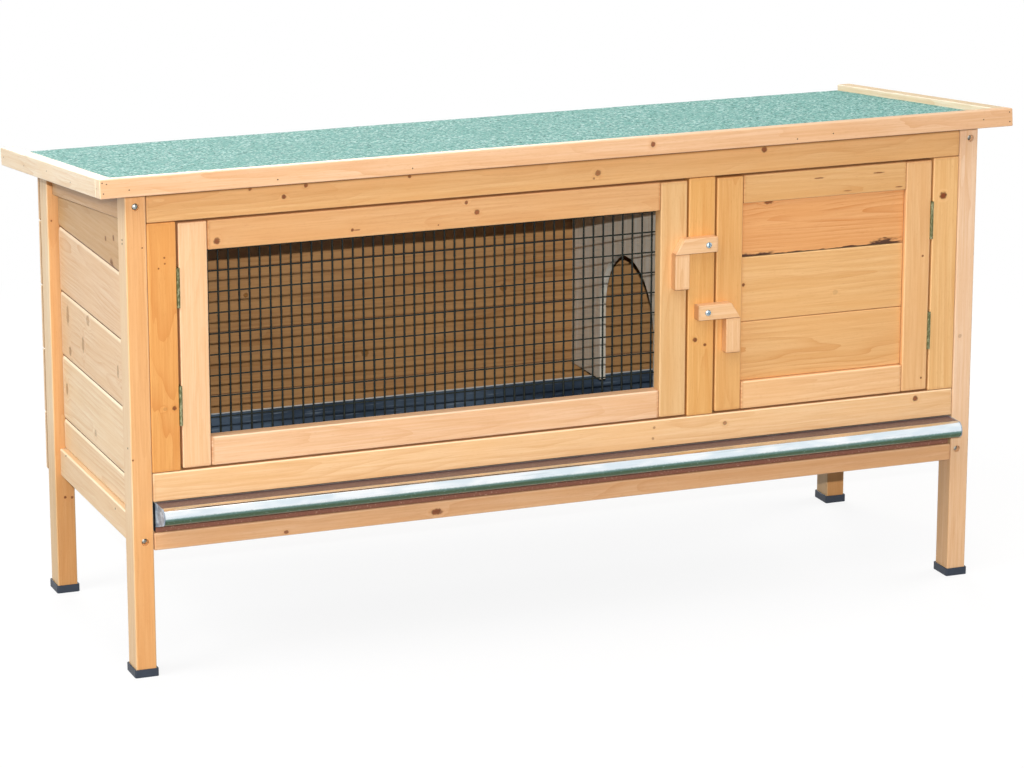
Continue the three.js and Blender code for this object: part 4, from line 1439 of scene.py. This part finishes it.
# How far from the middle the floor starts to shine of itself, and where it does so most
GLOW_RANGE = (1.0, 1.8)
WORLD_LEVEL = 0.07
CAMERA_PLACE = Vector((-1.7341, -4.3840, 1.5139))
CAMERA_YAW = 0.3776
CAMERA_PITCH = 0.2611
CAMERA_ROLL = 0.0002
FOCAL_PIXELS = 3910.8
PICTURE_WIDTH = 1024
SENSOR = 36.0
# Where all lamps look
LAMP_TARGET = Vector((0, 0, 0.38))
# Each lamp's place, size and power
LAMPS = {
    "front_lamp": (CAMERA_PLACE + Vector((0, 0, 0.155)), 0.025, 150),
    "top_front_lamp": (Vector((-1.2, -2.2, 3.4)), 2.4, 56),
    "top_lamp": (Vector((0.2, 0.3, 4.0)), 2.2, 10),
    "left_lamp": (Vector((-3.3, -0.6, 2.5)), 2.0, 88),
    "right_lamp": (Vector((3.6, 0.4, 1.6)), 2.4, 84),
    "back_lamp": (Vector((0.4, 3.8, 1.8)), 2.6, 112),
}


def add_floor():
    """A floor that takes shadows, white where it is seen and a little darker in what it lights."""
    deselect_all()
    bpy.ops.mesh.primitive_plane_add(size=FLOOR_SIZE)
    floor = named("studio_floor")
    finish = Finish("studio floor")
    finish.set("Roughness", 0.9)
    direct = finish.seen_direct()
    finish.set("Base Color", finish.blend(direct, colour(152, 152, 151), colour(246, 246, 246)))
    across, depth, _ = finish.parts(finish.node("TexCoord", {}, {}, "Object"))
    off_middle = (across * across + depth * depth) ** 0.5
    share = direct * (finish.ramped(off_middle, *GLOW_RANGE) * 0.15 + 0.85)
    plain = Value(finish, finish.shader.outputs["BSDF"])
    glow = finish.node("Emission", {}, {"Color": (1, 1, 1, 1), "Strength": 1.0})
    mixed = finish.node("MixShader", {}, {0: share, 1: plain, 2: glow})
    finish.feed(finish.tree.nodes["Material Output"].inputs["Surface"], mixed)
    floor.data.materials.append(finish.material)


def light_world():
    """A world that is white where it is seen, and lights things faintly."""
    world = bpy.data.worlds.new("studio")
    bpy.context.scene.world = world
    world.use_nodes = True
    sky = Shades(world.node_tree)
    background = sky.tree.nodes["Background"]
    sky.feed(background.inputs["Color"], (1, 1, 1, 1))
    sky.feed(background.inputs["Strength"], sky.seen_direct() * (1 - WORLD_LEVEL) + WORLD_LEVEL)


def add_lamps():
    """Square soft lamps that all look at the hutch."""
    for name, (place, size, power) in LAMPS.items():
        lamp = bpy.data.lights.new(name, "AREA")
        lamp.shape = "SQUARE"
        lamp.size = size
        lamp.energy = power
        holder = bpy.data.objects.new(name, lamp)
        bpy.context.scene.collection.objects.link(holder)
        holder.location = place
        holder.rotation_euler = (LAMP_TARGET - place).to_track_quat("-Z", "Y").to_euler()


def add_camera():
    lens = bpy.data.cameras.new("camera")
    camera = bpy.data.objects.new("camera", lens)
    bpy.context.scene.collection.objects.link(camera)
    bpy.context.scene.camera = camera
    lens.sensor_width = SENSOR
    lens.lens = FOCAL_PIXELS / PICTURE_WIDTH * SENSOR
    lens.clip_end = 100
    level = math.cos(CAMERA_PITCH)
    forward = Vector((math.sin(CAMERA_YAW) * level, math.cos(CAMERA_YAW) * level, -math.sin(CAMERA_PITCH)))
    turn = forward.to_track_quat("-Z", "Y").to_matrix() @ Matrix.Rotation(CAMERA_ROLL, 3, "Z")
    camera.location = CAMERA_PLACE
    camera.rotation_euler = turn.to_euler()


add_camera()
light_world()
add_lamps()
add_floor()
add_legs()
add_foot_caps()
add_front_frame()
add_doors()
add_side_walls()
add_back_wall()
add_partition()
add_roof()
add_net()
add_buttons()
add_hinges()
add_tray_pan()
add_tray_nose()

bpy.context.scene.view_settings.view_transform = "Standard"
bpy.context.view_layer.update()
